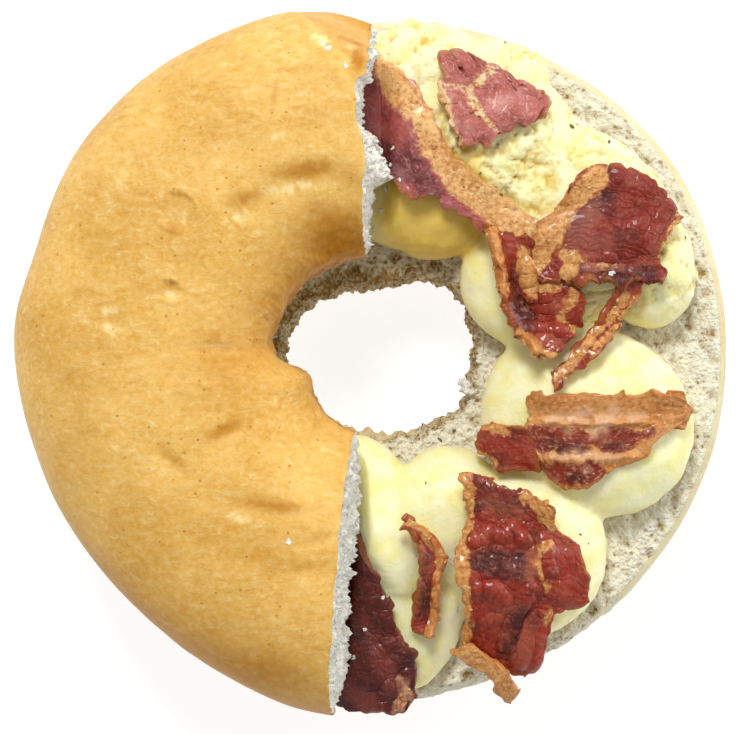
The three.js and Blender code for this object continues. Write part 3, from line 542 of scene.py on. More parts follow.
# Each piece: left and right run the same way, near joins their first points and far their last.
# Lines of fat, lean, darker lean, pale mauve meat and folds run over it, as (x, y, half width).
# The darker lines are partly painted shading along folds, and the mauve ones partly a painted sheen,
# as on the lower rasher and the piece under the lid. Its waves are (number, height), its curl lifts a
# side, and its rings say how far it keeps its bend past the filling. Ragged is how torn its sides are,
# faded how soft its streaks, and wrinkled how crisp.
BACON = {
    "long_rasher": dict(
        finish="mauve",
        left=[
            (-5.5, 39.5), (-2, 36.5), (1.2, 33), (3.6, 30),
            (5.6, 26.6), (9, 26.2), (13, 23.9), (18.2, 20.4), (21.6, 17.2),
        ],
        right=[
            (-5, 46.5), (0, 47.8), (4, 46.5), (7.5, 42.5), (9.6, 38.5),
            (12.3, 33.4), (16, 29.8), (20.5, 26.4), (26, 22), (29, 18.6),
        ],
        waves=(2.5, 0.5), faded=2.4,
        fat=[[
            (2.2, 46.4, 1.8), (5.2, 42.1, 1.6), (8.2, 37.7, 1.5), (9, 34.4, 1.7),
            (12.8, 30, 2.2), (17, 26, 2.4), (23, 21.8, 3), (26, 17.5, 3.2),
        ]],
        dark=[[(2.5, 33.5, 1.4), (7, 29.6, 1.6), (9.5, 27, 1)]],
    ),
    "top_slice": dict(
        finish="pink",
        left=[(10, 48), (10.8, 45.5), (10.3, 43.5), (11.4, 40), (12.4, 37), (13.6, 34.6)],
        right=[
            (18, 46.6), (22, 44.3), (26.5, 42.4), (28, 40.3),
            (26, 38), (22.5, 37.6), (20, 36.2), (17.8, 33.6),
        ],
        near=[(14.5, 48.2)], waves=(1.5, 0.4), wrinkled=0.2, ragged=1.7,
        fat=[
            [(10.4, 43.2, 0.6), (11.2, 39.6, 1.1), (11.8, 36, 1), (13.4, 34.6, 0.6)],
            [
                (10.8, 43.4, 0.2), (14.4, 42.9, 0.25), (15.4, 41, 0.6),
                (16.8, 38.6, 0.35), (19.5, 36.2, 0.25),
            ],
            [(15.4, 42.8, 0.2), (17.2, 44.6, 0.6), (18.4, 46, 0.45)],
        ],
    ),
    "folded_flap": dict(
        finish="dark",
        left=[
            (34.5, 30), (31, 27.6), (28.8, 24.6), (26.4, 21.4), (24.9, 18.4), (25, 15.4), (26.4, 12.8),
        ],
        right=[(47.8, 24.5), (48.2, 22.8), (46.4, 20), (44.8, 17), (45.6, 14), (45, 12.2)],
        near=[(38, 30.5), (42, 29.3), (45.3, 27.2)],
        far=[(29.4, 12.3), (34, 12.6), (38.5, 12), (42, 12.6)],
        waves=(2, 0.7), curl=dict(far=0.9), wrinkled=0.4, faded=1.8,
        fat=[
            [(35.4, 29, 1.1), (32.2, 26.2, 1.4), (29, 22.4, 1.9), (26.6, 18.6, 2), (25.6, 15, 1.3)],
            [(30, 17.4, 0.8), (31.6, 15.6, 0.9), (30.4, 13.8, 0.6)],
            [(32, 16.2, 0.3), (35.4, 15.2, 0.4), (38, 15.4, 0.25)],
            [(47.9, 24, 0.25), (46.5, 20.2, 0.35), (44.9, 17.4, 0.4)],
        ],
        dark=[[(33, 14.4, 0.8), (37, 13.4, 0.9), (43, 13.6, 0.9)], [(36, 26.4, 0.8), (31.6, 20.4, 1)]],
        mauve=[[(34.6, 24.4, 1), (31.4, 18.8, 1.3), (36, 18.6, 1.2)], [(34, 15, 0.4), (43, 15, 0.4)]],
        folds=[
            [(30.6, 14.2, 0.2), (36, 14.8, 0.2), (43.6, 13.4, 0.2)],
            [(31.4, 16.6, 0.1), (37.6, 16.4, 0.1)], [(32.4, 13, 0.1), (41, 12.6, 0.1)],
            [(45.8, 24.6, 0), (42.6, 18.4, 0)],
        ],
    ),
    "curled_end": dict(
        finish="glossy",
        left=[(17.2, 21.6), (18.7, 15.6), (19.6, 10.5), (21, 6.8), (22.8, 3.8), (25, 0.8)],
        right=[(25, 20), (26.8, 16), (28.6, 13.6), (32, 12.2), (33.6, 9), (31.8, 4.6), (29, 1.2)],
        waves=(1.5, 0.5), curl=dict(left=3.4, far=0.8),
        fat=[
            [(17.8, 20, 0.9), (19.2, 15, 0.4), (20, 10.4, 0.3)],
            [(22.6, 4.6, 0.5), (24.6, 1.6, 0.9), (28.6, 0.8, 0.7)],
            [(23.6, 17.4, 1), (24.2, 14.6, 1.1), (25.6, 11.4, 0.9), (28.8, 12.4, 0.9)],
            [(31.6, 11, 0.6), (29.4, 7.6, 0.5), (31.4, 4.8, 0.5)],
        ],
        dark=[[(21.6, 13.5, 1.1), (22.4, 9, 1.4), (24.6, 6.8, 0.8)]],
        mauve=[[(25.4, 3.6, 0.9), (28.4, 3.2, 1)], [(28.6, 9.8, 0.8), (29.6, 9.2, 0.8)]],
        folds=[
            [(24.2, 15.8, 0.1), (25.4, 10.4, 0.1)], [(27.4, 12.4, 0), (26.6, 7.4, 0.1)],
            [(24, 5.6, 0), (29.6, 5.2, 0)],
        ],
    ),
    "sliver": dict(
        finish="glossy",
        left=[(38.4, 13), (36.2, 8.8), (34, 5), (31, 1.2), (27.6, -1.6)],
        right=[(42.6, 13), (40, 8), (38.3, 4.5), (35.5, 1.5), (32, -1), (28.8, -4)],
        waves=(3, 0.5), lift=0.2,
        fat=[
            [(39.4, 10.8, 0.6), (36.6, 6.6, 0.5), (33, 1.8, 0.5), (28.8, -2.8, 0.8)],
            [(41.2, 10.8, 0.4), (38, 5.4, 0.45), (34.6, 1.2, 0.4)],
        ],
    ),
    "middle_rasher": dict(
        finish="streaky",
        left=[(24.8, -4.2), (28, -4.7), (33, -4.6), (38, -4.8), (42, -5), (46.5, -4.6), (49, -5.7)],
        right=[
            (26.6, -16.4), (28.6, -18.7), (31.5, -19.9), (35, -19),
            (37.5, -16.6), (42.5, -14.8), (45, -11.6), (49.5, -9),
        ],
        near=[(23.8, -6.2), (24.6, -8), (23.8, -9.6), (25, -12)], far=[(50.5, -7.4)],
        waves=(2.5, 0.6), curl=dict(left=1.2),
        fat=[[(22, -10, 12), (52, -10, 12)]],
        lean=[
            [(24.6, -11.6, 1.9), (26.6, -11.8, 2.1)], [(29.9, -12, 2.1), (32.4, -12, 2)],
            [(36.4, -11.8, 1.9), (39.8, -11.8, 1.9)], [(42.6, -11, 1), (43.6, -10.7, 0.8)],
            [(28.8, -16.8, 1.6), (30.6, -17.2, 1.8)], [(33.4, -17, 1.9), (34.8, -16.9, 1.6)],
            [(26.4, -16, 0.8), (27, -17, 0.8)],
        ],
        dark=[
            [(29, -13, 0.6), (32, -13, 0.6)], [(37, -12.8, 0.4), (39, -12.8, 0.4)],
            [(31, -17.6, 0.5), (34, -17.6, 0.5)],
        ],
        mauve=[
            [(27.6, -8.8, 0.3), (29.4, -8.2, 0.6)], [(31, -8.6, 0.5), (33, -7.6, 0.8)],
            [(37.8, -7.4, 0.7), (36, -9.4, 1), (34.8, -10.6, 0.5)], [(40.4, -8.4, 0.5), (42.6, -8, 0.3)],
            [(28, -14.6, 0.1), (32.4, -14.2, 0.3), (38, -14.5, 0.2)],
        ],
        folds=[
            [(26, -14.8, 0), (33, -15, 0.1), (41, -14.4, 0)],
            [(27, -9, 0), (34, -9.4, 0), (44, -9, 0)],
        ],
    ),
    "scrap": dict(
        finish="glossy",
        left=[(17, -9.5), (19.8, -9.2), (24.6, -10.3)],
        right=[(16.8, -14), (19, -14.9), (19.6, -16.7), (22.3, -16.6), (26.6, -17.2)],
        near=[(16.2, -11.8)], far=[(25.8, -12.6)], waves=(1, 0.5),
        fat=[
            [(17, -9.8, 0.5), (20, -9.9, 0.8), (21.4, -10.6, 0.5)],
            [(16.6, -14, 0.6), (19.2, -15.8, 0.7)],
        ],
    ),
    "lower_rasher": dict(
        finish="glossy",
        left=[
            (14, -17.6), (14.2, -19.6), (14.7, -22), (14.5, -26), (12.9, -29.5),
            (13.7, -34), (14.6, -38), (14.5, -42), (13.5, -45),
        ],
        right=[
            (28, -22), (28.6, -25), (31, -27.8), (33, -31.5), (33.6, -36.5),
            (30, -38), (28.2, -41), (26.5, -46), (24.5, -48.5),
        ],
        near=[(17.5, -18), (20.5, -19.4), (24.6, -20.1)], far=[(16.5, -47.3), (20.5, -47.8)],
        waves=(2, 1), curl=dict(left=1, near=0.8, far=-0.8), wrinkled=0.7, rings=6,
        fat=[
            [(14.6, -17.8, 0.9), (15, -23, 0.7), (14, -29, 1.1), (14.4, -37, 0.9), (14.2, -44.4, 1)],
            [(23.6, -20.6, 0.5), (26.4, -21.9, 0.9), (28, -25.5, 0.4)],
            [(27.2, -28.2, 0.2), (25.6, -31.2, 0.6), (26.4, -32.8, 0.3), (27.4, -34.6, 0.6)],
            [(27.4, -38.4, 0.6), (27, -40.4, 0.5)],
        ],
        dark=[
            [(18, -30.6, 2), (22, -31.4, 2)], [(23.4, -37.6, 0.7), (22, -42, 0.9), (21, -45, 0.8)],
            [(15.6, -21.6, 0.7), (24, -22, 0.5)],
        ],
        mauve=[
            [(18, -21.4, 1), (22.4, -23.2, 1.3)], [(25.2, -28, 0.8), (24.4, -33.4, 0.5)],
            [(24.4, -40, 0.5), (23.4, -45.6, 0.6)],
        ],
        folds=[
            [
                (16.2, -27.5, 0.1), (18.4, -26, 0.1), (20.1, -26.9, 0.1),
                (21.9, -25.6, 0.1), (24, -27.5, 0.1),
            ],
            [(16.4, -34.9, 0.1), (18.4, -34.7, 0.1), (20.8, -36.2, 0.1), (21.6, -37.6, 0)],
            [(20.6, -44, 0.1), (21.8, -40.4, 0.2), (24.4, -35, 0.1)],
            [(23.6, -46.6, 0.1), (24.8, -41, 0.3), (27, -37, 0.1)],
            [(26.4, -27, 0), (27.8, -31, 0.1), (28, -36, 0)], [(22.4, -38.6, 0), (22.6, -46.4, 0)],
            [(26.2, -40.4, 0), (25.2, -46.8, 0)], [(17.4, -40, 0), (20, -39.6, 0)],
        ],
    ),
    "rind_spike": dict(
        finish="dark",
        left=[(12.2, -44.8), (15.5, -46.8), (18.4, -48.4), (19.8, -50.6), (21.8, -52.6)],
        right=[(15.6, -43.4), (18.4, -45.5), (20.6, -47), (22.2, -49.2), (22.9, -51.8)],
        waves=(1.5, 0.3), lift=2, rings=6, fat=[[(13, -44, 3), (22.5, -52, 3)]],
    ),
    "small_curl": dict(
        finish="glossy",
        left=[(4.7, -25.3), (6.3, -27.2), (7.4, -30.5), (6.9, -35), (6.1, -39), (6.3, -42)],
        right=[(5.7, -23.2), (8, -25), (12, -29.6), (11, -33.5), (10.9, -38), (9.8, -43.3)],
        waves=(2, 0.5), curl=dict(right=1.6, near=1),
        fat=[[
            (4.8, -24, 0.9), (8.4, -26.4, 1), (11.2, -29.6, 0.7),
            (11, -34, 0.5), (10.6, -38, 0.5), (9.6, -43, 0.5),
        ]],
        dark=[[(7.6, -30, 0.9), (7.8, -38, 0.9)]],
    ),
    "under_lid": dict(
        finish="charred",
        left=[(-6, -25), (-9, -32), (-10.4, -42), (-9.4, -52.5)],
        right=[(-2.2, -25), (0.2, -31.5), (3, -37.8), (4.8, -42.4), (7.2, -46.5), (6.8, -52.8)],
        far=[(-5, -53.6), (-2.6, -54.6), (1, -54), (4, -54.7)], waves=(0, 0), wrinkled=1.4, rings=6,
        fat=[[(4.6, -49.4, 0.8), (5, -52, 1.3), (4, -54.2, 0.9)]],
        mauve=[[(-1, -40, 0.6), (1.6, -46, 1.2), (3.6, -50, 1)], [(-5, -50, 1), (-1, -52.6, 1)]],
    ),
}


def bacon_ceiling(x, y):
    """Highest that bacon may lie, so that it slides in under the lid"""
    return lerp(PRESSED_BACON, OPEN_SKY, ramp(past_cut(x, y), 2.4, 9))


def bed_height(x, y):
    """Height of the smooth filling or the crumb, or how low a stiff strip droops past the bread"""
    hit = bacon_bed.ray_cast(Vector((x, y, SKY)), DOWN)[0]
    if hit:
        return hit.z
    shoulder = base_radius(math.degrees(math.atan2(y, x)) % 360) - BASE_SHOULDER
    return FILLING_FLOOR - DROOP * max(0, math.hypot(x, y) - shoulder)


def drape_height(x, y, rings):
    """Height of a stiff sheet on the filling, which bridges hollows narrower than its own bend"""
    height = bed_height(x, y)
    for ring in range(1, rings + 1):
        away = BEND_STEP * ring
        for k in range(8):
            turn = (k + ring / 2) * math.pi / 4
            there = bed_height(x + away * math.cos(turn), y + away * math.sin(turn))
            height = max(height, there - away ** 2 / (2 * STIFFNESS))
    return height


def soft_min(a, b):
    """Lower of two heights, with the bend between them rounded"""
    near = max(0, 1 - abs(a - b) / SOFT_BEND)
    return min(a, b) - SOFT_BEND / 4 * near ** 2


def side(points):
    """Smooth line through a side's points, from 0 at its first to 1 at its last"""
    points = [Vector(point) for point in points]
    last = len(points) - 1

    def at(share):
        i = min(int(share * last), last - 1)
        s = share * last - i
        before, start = points[max(i - 1, 0)], points[i]
        end, after = points[i + 1], points[min(i + 2, last)]
        first, second = (end - before) / 2, (after - start) / 2
        bend = first * (s - 2 * s ** 2 + s ** 3) + second * (s ** 3 - s ** 2)
        return start.lerp(end, 3 * s ** 2 - 2 * s ** 3) + bend

    return at


def inside_line(place, lines):
    """How far a place lies inside the nearest of some lines with a half width at each point"""
    best = -9
    for line in lines:
        for (ax, ay, aw), (bx, by, bw) in zip(line, line[1:]):
            start = Vector((ax, ay))
            along = Vector((bx, by)) - start
            share = min(max((place - start).dot(along) / along.length_squared, 0), 1)
            best = max(best, lerp(aw, bw, share) - (place - start - along * share).length)
    return best


def bacon_sheet(
    left, right, waves, near=(), far=(), lift=0, rings=3, ragged=1, faded=1, wrinkled=0.6, curl=None,
    fat=(), lean=(), dark=(), mauve=(), folds=(), **other,
):
    """Lower face of one piece of bacon, laid over the filling, with where it is fat and where dark"""
    left_side, right_side = side(left), side(right)
    near_side = side([left[0], *near, right[0]])
    far_side = side([left[-1], *far, right[-1]])
    length = sum((left_side(i / 20) - left_side((i - 1) / 20)).length for i in range(1, 21))
    width = max((left_side(i / 8) - right_side(i / 8)).length for i in range(9))
    curl = curl or {}
    sheet = bmesh.new()
    bmesh.ops.create_grid(
        sheet, x_segments=round(length / THREAD), y_segments=max(8, round(width / THREAD)), size=0.5,
    )
    fatty, darkness, paleness, rimmed = point_layers(sheet, "fat", "dark", "mauve", "rim")
    grain = sheet.verts.layers.float_vector.new("grain")
    for point in sheet.verts:
        u, v = point.co.x + 0.5, point.co.y + 0.5
        ends = near_side(v).lerp(far_side(v), u)
        near_corners = Vector(left[0]).lerp(Vector(right[0]), v)
        far_corners = Vector(left[-1]).lerp(Vector(right[-1]), v)
        corners = near_corners.lerp(far_corners, u)
        place = left_side(u).lerp(right_side(u), v) + ends - corners
        spot = place.to_3d()
        jag = Vector([noise.fractal(spot / 1.5 + shift, 1, 2, 3) for shift in (NO_OFFSET, OFFSET)])
        from_rim = min(u * length, (1 - u) * length, v * width, (1 - v) * width)
        fray = Vector([noise.noise(spot / 0.8 + shift) for shift in (NO_OFFSET, OFFSET)])
        place += ragged * (0.4 * jag + 0.45 * fray * ramp(from_rim, 1.2, 0))
        x, y = place
        free = ramp(past_cut(x, y), 3, 8)
        wave = waves[1] * (1 + math.sin(2 * math.pi * waves[0] * u + 2.2 * v)) / 2
        rim = curl.get("left", 0) * ramp(v, 0.34, 0) + curl.get("right", 0) * ramp(v, 0.6, 1)
        tip = curl.get("near", 0) * ramp(u, 0.25, 0) + curl.get("far", 0) * ramp(u, 0.75, 1)
        point[grain] = Vector((u * length, v * width, left[0][0]))
        warped = place + 0.45 * jag
        meaty = ramp(inside_line(warped, lean), -0.5, 0.4)
        point[fatty] = ramp(inside_line(warped, fat), -0.6 * faded, 0.5 * faded) * (1 - meaty)
        # Darker lean, partly painted shading along folds; pale mauve, partly a painted sheen
        point[darkness] = ramp(inside_line(warped, dark), -1, 0.5)
        point[paleness] = ramp(inside_line(warped, mauve), -1, 0.5)
        point[rimmed] = ramp(from_rim + 0.5 * jag.x, 0.9, 0.2)
        fold = 0.9 * ramp(inside_line(warped, folds), -0.8, 0.1)
        crinkle = 0.12 * noise.fractal(spot / 1.1, 0.8, 2, 2) + 0.4 * noise.noise(spot / 3.2)
        for spacing, height, thin in WRINKLES:
            bent = Vector((x, y, 0)) / spacing + 0.3 * noise.noise_vector(spot / spacing)
            crinkle += height * wrinkled * ramp(abs(noise.noise(bent + OFFSET)), thin, 0)
        grainy = 0.12 * point[fatty] * noise.turbulence(spot / 1.1, 2, True)
        rest = soft_min(drape_height(x, y, rings), bacon_ceiling(x, y)) + SHEET_CLEARANCE + lift
        raised = wave + rim + tip + fold + crinkle + grainy
        point.co = Vector((x, y, rest + raised * free))
    return sheet


def fried_bacon(name, lean, lean_dark, lean_pale, fat, fat_brown, roughness, grease):
    """Streaky bacon fried crisp: cured lean gone dark red, fat gone tan and see-through, all of it wet
    with its own grease, so the eye gets tight bright highlights on fibres and browned edges."""
    material, tree, here = new_material(name)
    fatty, darkness, mauve, rim = (
        add(tree, "Attribute", attribute_name=layer) for layer in ("fat", "dark", "mauve", "rim")
    )
    run = add(tree, "Attribute", attribute_name="grain").node.outputs["Vector"]
    stretched = add(tree, "Mapping", {"Vector": run, "Scale": (0.6, 2.6, 1.0)})
    fibres = add(tree, "TexNoise", {
        "Vector": stretched, "Scale": 1.0, "Detail": 4.0, "Roughness": 0.6, "Distortion": 1.0,
    })
    ridges = add(tree, "TexWave", {
        "Vector": run, "Scale": 0.36, "Distortion": 7.0, "Detail": 3.0, "Detail Scale": 1.3,
    })
    crackle = add(tree, "TexNoise", {
        "Vector": here, "Scale": per_mm(0.7), "Detail": 5.0, "Roughness": 0.65,
    })

    # Lean: clouds of dark and of pale mauve, mottled with threads of fat between its fibres. The dark
    # layer is partly painted shading along folds, and the mauve layer partly a painted sheen.
    clouds = add(tree, "TexNoise", {"Vector": here, "Scale": per_mm(4.4), "Detail": 4.0})
    dark_clouds = add(tree, "MapRange", (clouds, 0.5, 0.38, 0.0, 0.6))
    deepened = add(tree, "Math", (darkness, 0.9, dark_clouds), operation="MULTIPLY_ADD", use_clamp=True)
    paled = add(tree, "MapRange", (clouds, 0.54, 0.7, 0.0, 0.45))
    paled = add(tree, "Math", (mauve, 0.6, paled), operation="MULTIPLY_ADD", use_clamp=True)
    mottle = add(tree, "Math", (fibres, crackle), operation="ADD")
    threads = add(tree, "MapRange", (mottle, 1.02, 1.25, 0.0, 0.5))
    meat = linear(lean)
    for share, tone in ((deepened, lean_dark), (paled, lean_pale), (threads, lean_pale)):
        meat = add(tree, "Mix", {0: share, 6: meat, 7: linear(tone)}, data_type="RGBA")

    # Fat: pale where it is thick, brown where it fried through, with red lean glowing through it
    streaks = add(tree, "Math", (clouds, 1.5, fibres), operation="MULTIPLY_ADD")
    streaks = add(tree, "Math", (crackle, 3.2, streaks), operation="MULTIPLY_ADD")
    fried = add(tree, "MapRange", (streaks, 3.15, 2.45, 0.0, 0.85))
    cloudy = add(tree, "Math", (mauve, 0.75), operation="MULTIPLY")
    rind = linear(fat)
    for share, tone in ((fried, fat_brown), (cloudy, lean_pale)):
        rind = add(tree, "Mix", {0: share, 6: rind, 7: linear(tone)}, data_type="RGBA")

    # Fat over lean with a broken border, then crumbs of fat and the browned rim over both
    border = add(tree, "Math", (mottle, 0.6, fatty), operation="MULTIPLY_ADD")
    border = add(tree, "MapRange", (border, 0.78, 1.4, 0.0, 0.94), interpolation_type="SMOOTHSTEP")
    crumbs = add(tree, "MapRange", (crackle, 0.66, 0.74, 0.0, 0.6))
    browned = add(tree, "Math", (rim, 0.5), operation="MULTIPLY")
    colour = meat
    for share, tone in ((border, rind), (crumbs, linear(fat)), (browned, linear(fat_brown))):
        colour = add(tree, "Mix", {0: share, 6: colour, 7: tone}, data_type="RGBA")

    height = add(tree, "Math", (ridges, 0.35, mottle), operation="MULTIPLY_ADD")
    smoother = add(tree, "MapRange", {0: border, 3: 1.0, 4: 0.5})
    height = add(tree, "Math", (height, smoother), operation="MULTIPLY")
    bump = add(tree, "Bump", {"Height": height, "Distance": 0.28 * MM, "Strength": 0.8})
    dull = add(tree, "MapRange", {0: border, 3: roughness, 4: roughness + 0.12})
    surface = add(tree, "BsdfPrincipled", {
        "Base Color": colour, "Roughness": dull, "Normal": bump, "IOR": 1.46,
        "Subsurface Weight": 0.3, "Subsurface Radius": (1.0, 0.5, 0.3), "Subsurface Scale": 0.8 * MM,
        "Specular IOR Level": 0.35, "Coat Weight": grease, "Coat Roughness": 0.06,
    })
    add(tree, "OutputMaterial", {"Surface": surface})
    return material


# Finishes: lean with its dark and its pale tone, fat, browned fat, roughness, and how greasy it is
FINISHES = {
    "pink": ("#bc685c", "#9a483e", "#ecbcb0", "#f0d6a8", "#d49c5c", 0.42, 0.15),
    "mauve": ("#ae544c", "#702c2c", "#c68c92", "#f2c684", "#cc863c", 0.32, 0.35),
    "streaky": ("#922a0e", "#5c1406", "#e4b890", "#dc9e5a", "#b26a26", 0.3, 0.35),
    "glossy": ("#962404", "#4c0e02", "#b05c40", "#e4aa62", "#b46820", 0.25, 0.45),
    "dark": ("#8a220a", "#4c0e06", "#ae6450", "#e4ae6a", "#b66e2c", 0.34, 0.2),
    "charred": ("#581004", "#2e0604", "#863a2c", "#d2a07a", "#8e4828", 0.3, 0.35),
}
finishes = {name: fried_bacon("fried_bacon_" + name, *look) for name, look in FINISHES.items()}
bacon_pieces = []
for name, shape in BACON.items():
    piece = settle(bacon_sheet(**shape), name, finishes[shape["finish"]], "bacon", "bacon_" + name)
    bacon_pieces.append(piece)
    body = piece.modifiers.new("thickness", "SOLIDIFY")
    body.thickness = BACON_THICKNESS * MM
    body.offset = 1
    rounding = piece.modifiers.new("rounding", "SUBSURF")
    rounding.levels = 1
    rounding.render_levels = 1

# Grains of fat that fried loose along the streaks
GRAINS_PER_MM = 1.2
GRAIN_SIZES = (0.12, 0.28)
grains = bmesh.new()
[fatty] = point_layers(grains, "fat")
scatter = random.Random(11)
for piece, shape in zip(bacon_pieces, BACON.values()):
    surface = BVHTree.FromObject(piece, bpy.context.evaluated_depsgraph_get())
    for line in shape["fat"]:
        for (ax, ay, aw), (bx, by, bw) in zip(line, line[1:]):
            run = Vector((bx - ax, by - ay))
            for k in range(round(run.length * GRAINS_PER_MM)):
                share, sideways = scatter.random(), scatter.gauss(0, 0.6)
                size, turn = scatter.uniform(*GRAIN_SIZES), scatter.uniform(0, math.pi)
                off = run.orthogonal().normalized() * sideways * lerp(aw, bw, share)
                start = (Vector((ax, ay, SKY)) + (run * share + off).to_3d() + RING_MIDDLE) * MM
                hit = surface.ray_cast(start, DOWN)[0]
                spot = Vector((ax, ay)) + run * share + off
                if hit and inside_line(spot, shape.get("lean", ())) < -0.4:
                    middle = hit / MM - RING_MIDDLE
                    for point in ball(grains, 2, middle, turn, (size * 1.6, size, size * 0.6)):
                        point[fatty] = 1
                        point.co += 0.35 * size * noise.noise_vector(point.co / 0.3)
settle(grains, "fat_grains", finishes["dark"], "bacon")


# Lid
# Half of the bread ring's top, torn off at both ends. Soft golden crust, smooth and egg washed, with
# dents and wrinkles from handling, and white crumb at the torn ends. A flat grid is rolled up round
# the section and bent along the half ring, and drawn together over the torn ends.
LID_OUTLINE = [
    (88, 52.4), (93, 54.4), (98, 55.6), (116, 56.3), (143, 56.4), (161, 55), (174, 55.6),
    (198, 53.7), (222, 52.6), (240, 53), (258, 54.6), (266, 55),
]
LID_HOLE_OUTLINE = [
    (92, 16.3), (119, 16.3), (148, 15.8), (173, 15.2), (188, 10.1), (207, 10.2), (226, 10.5),
    (256, 10.8),
]
LID_WIDEST = 30
LID_TOP = 45.5
LID_TUCK = 10
LID_BLUNTNESS = 2.3
LID_START = (94.5, 90.3)
LID_END = (253.5, 262.8)
LID_STEPS = 400
LID_CORNERS = 236
CROWDING = -0.45
END_SHARE = 0.1

# Dents in the crust: centre, length, width, turn in degrees, and depth
DENTS = [
    (-10.6, 28, 11, 4.4, 8, 0.6), (-19, 23.6, 8, 4, 20, 0.35), (-2.5, 26.5, 7, 4, -20, 0.3),
    (-22.4, -10.2, 7, 2.6, 25, 0.3), (-29.7, -14.6, 7.5, 3, -38, 0.35), (-16.4, -21.4, 14, 3, -8, 0.4),
    (-9, -26.4, 6, 2.4, 12, 0.3), (-11, -30.9, 9, 2.8, 6, 0.3), (-22.6, 2.3, 12, 1.6, 3, 0.2),
    (-39.6, 6.6, 4, 3, 0, 0.25), (-10.4, 41, 9, 5, 0, 0.25),
]

# Round blisters and pits: centre, radius, and depth
PITS = [(-29.2, 22.9, 3, 0.35), (-30.3, 11, 1.7, 0.5), (-19.8, 22.2, 1, 0.25)]

# Marks in the crust: centre, length, width, turn in degrees, and strength. The first list is partly
# real orange-brown streaks and partly painted shading: on the upper walls of dents, and over broad
# patches on the slope by the hole, left of the hole and along the lower rim.
OCHRE_AND_SHADE_MARKS = [
    (-10.1, 29.2, 9.5, 3.2, 8, 1), (-18.8, 24.9, 7.5, 3, 20, 0.7), (-2.5, 27.5, 6, 3, -20, 0.4),
    (-30, 20.2, 2.6, 1.4, -15, 0.8), (-30.1, 12, 3, 1.2, 30, 0.8), (-29.3, 25.6, 4.4, 0.9, -6, 0.6),
    (-44.2, 10.7, 3.4, 2, 20, 0.4), (-37.9, 17.6, 3.2, 1.2, 30, 0.4), (-22.4, -10.2, 6.6, 2, 25, 1),
    (-29.7, -14.6, 6.8, 2.2, -38, 0.75), (-16.8, -21.2, 13, 2.3, -8, 0.7), (-13, -21.6, 5, 1.8, -4, 0.5),
    (-8.1, -26.2, 4.6, 1.6, 15, 0.6), (-10.2, -30.7, 8, 1.8, 8, 0.5), (-15.6, -29, 9, 5, -10, 0.4),
    (-14.6, 40.5, 9, 1.1, 80, 0.5), (-10, 44.6, 8.5, 1.1, 4, 0.5), (-5.2, 43, 4, 1, -50, 0.4),
    (-9, 38, 6, 1.2, -12, 0.4), (-2.1, 46.2, 6.8, 2.4, 84, 1), (-3.3, 50.4, 5, 0.9, -12, 0.6),
    (-30, 44, 16, 9, 30, 0.25), (-46, -14, 16, 9, 100, 0.25), (-26, -42, 18, 8, -30, 0.3),
    (-22, 1, 16, 14, 0, 0.6), (-6, 20, 12, 9, 0, 0.8), (-14, -47, 16, 7, -15, 0.6),
]
# The second list: partly real pale scuffs and partly painted highlights on the lower walls of dents and
# in blisters
PALE_AND_HIGHLIGHT_MARKS = [
    (-12.4, 26.4, 10, 1.8, 8, 0.9), (-19.7, 22.3, 3, 1.6, 20, 0.7), (-28.8, 22.2, 4, 3, 0, 0.5),
    (-30.2, 10.3, 2.6, 1.4, -20, 0.9), (-39.9, 7.8, 3.4, 1.2, 5, 0.8), (-39.4, 5.2, 3.2, 1.8, 0, 0.7),
    (-34.4, -14.6, 15, 1.8, -32, 0.4), (-20, -23.2, 10, 1.4, -18, 0.5), (-34.1, -1.7, 1.8, 1, -25, 0.7),
    (-42.2, 0.2, 2.2, 1, 10, 0.6), (-24, -37.3, 3.8, 0.9, -45, 0.8), (-13.8, 34.3, 3.4, 1.2, 5, 0.6),
    (-7.8, 49.2, 4.6, 2.2, -40, 0.9), (-3, 49, 2.6, 1.6, 20, 0.6), (-10, 40.8, 5, 3, 0, 0.4),
    (-22.6, 2.8, 11, 0.8, 3, 0.6), (-38, 28, 14, 8, 60, 0.3), (-14, -5, 14, 8, 0, 0.25),
]
WHITE_MARKS = [
    (-6.9, 48.2, 2, 0.8, -45, 0.9), (-5.2, 46.6, 2, 0.7, -48, 1.1), (-3.9, 45.2, 1.4, 0.6, -50, 1),
    (-5.8, -21.8, 1.2, 1, 60, 0.9), (-12.4, -26.5, 1.3, 0.7, -50, 0.9),
]
MARKS = (OCHRE_AND_SHADE_MARKS, PALE_AND_HIGHLIGHT_MARKS, WHITE_MARKS)

# Fold of the crust at the upper end: a place on it, the way it falls, and how steeply
FOLD_PLACE = Vector((-4.2, 46.6))
FOLD_TURN = math.radians(44)
FOLD_SLOPE = 0.62

# Torn ends, by place in y: how far the crumb reaches out low down, and how far back the crust tore
SHREDS_ABOVE = [
    (16.2, 0.4, 0.1), (20.8, 0.6, 0.3), (23.3, 0.8, 0.4), (25.8, 1.2, 0.4), (27.2, 0.9, 0.3),
    (29.1, 3.8, 0.2), (31, 2.6, 0.2), (32.7, 1.9, 0.3), (35, 2.0, 1), (36.3, 0.3, 1.5), (38.9, 0.3, 1.8),
    (41, 1, 2.1), (42.8, 0.8, 1.9), (44, 0.4, 0.5), (47, 0.3, 0.1), (52, 0.3, 0.1),
]
SHREDS_BELOW = [
    (-51.8, 1.2, 0.3), (-47.9, 2.6, 0.4), (-40.7, 1.8, 0.4), (-32.8, 1.8, 0.6), (-24.9, 2.3, 0.5),
    (-15.4, 1.3, 0.3), (-11.8, 0.6, 0.2),
]

lid_outer = outline(LID_OUTLINE)
lid_inner = outline(LID_HOLE_OUTLINE)


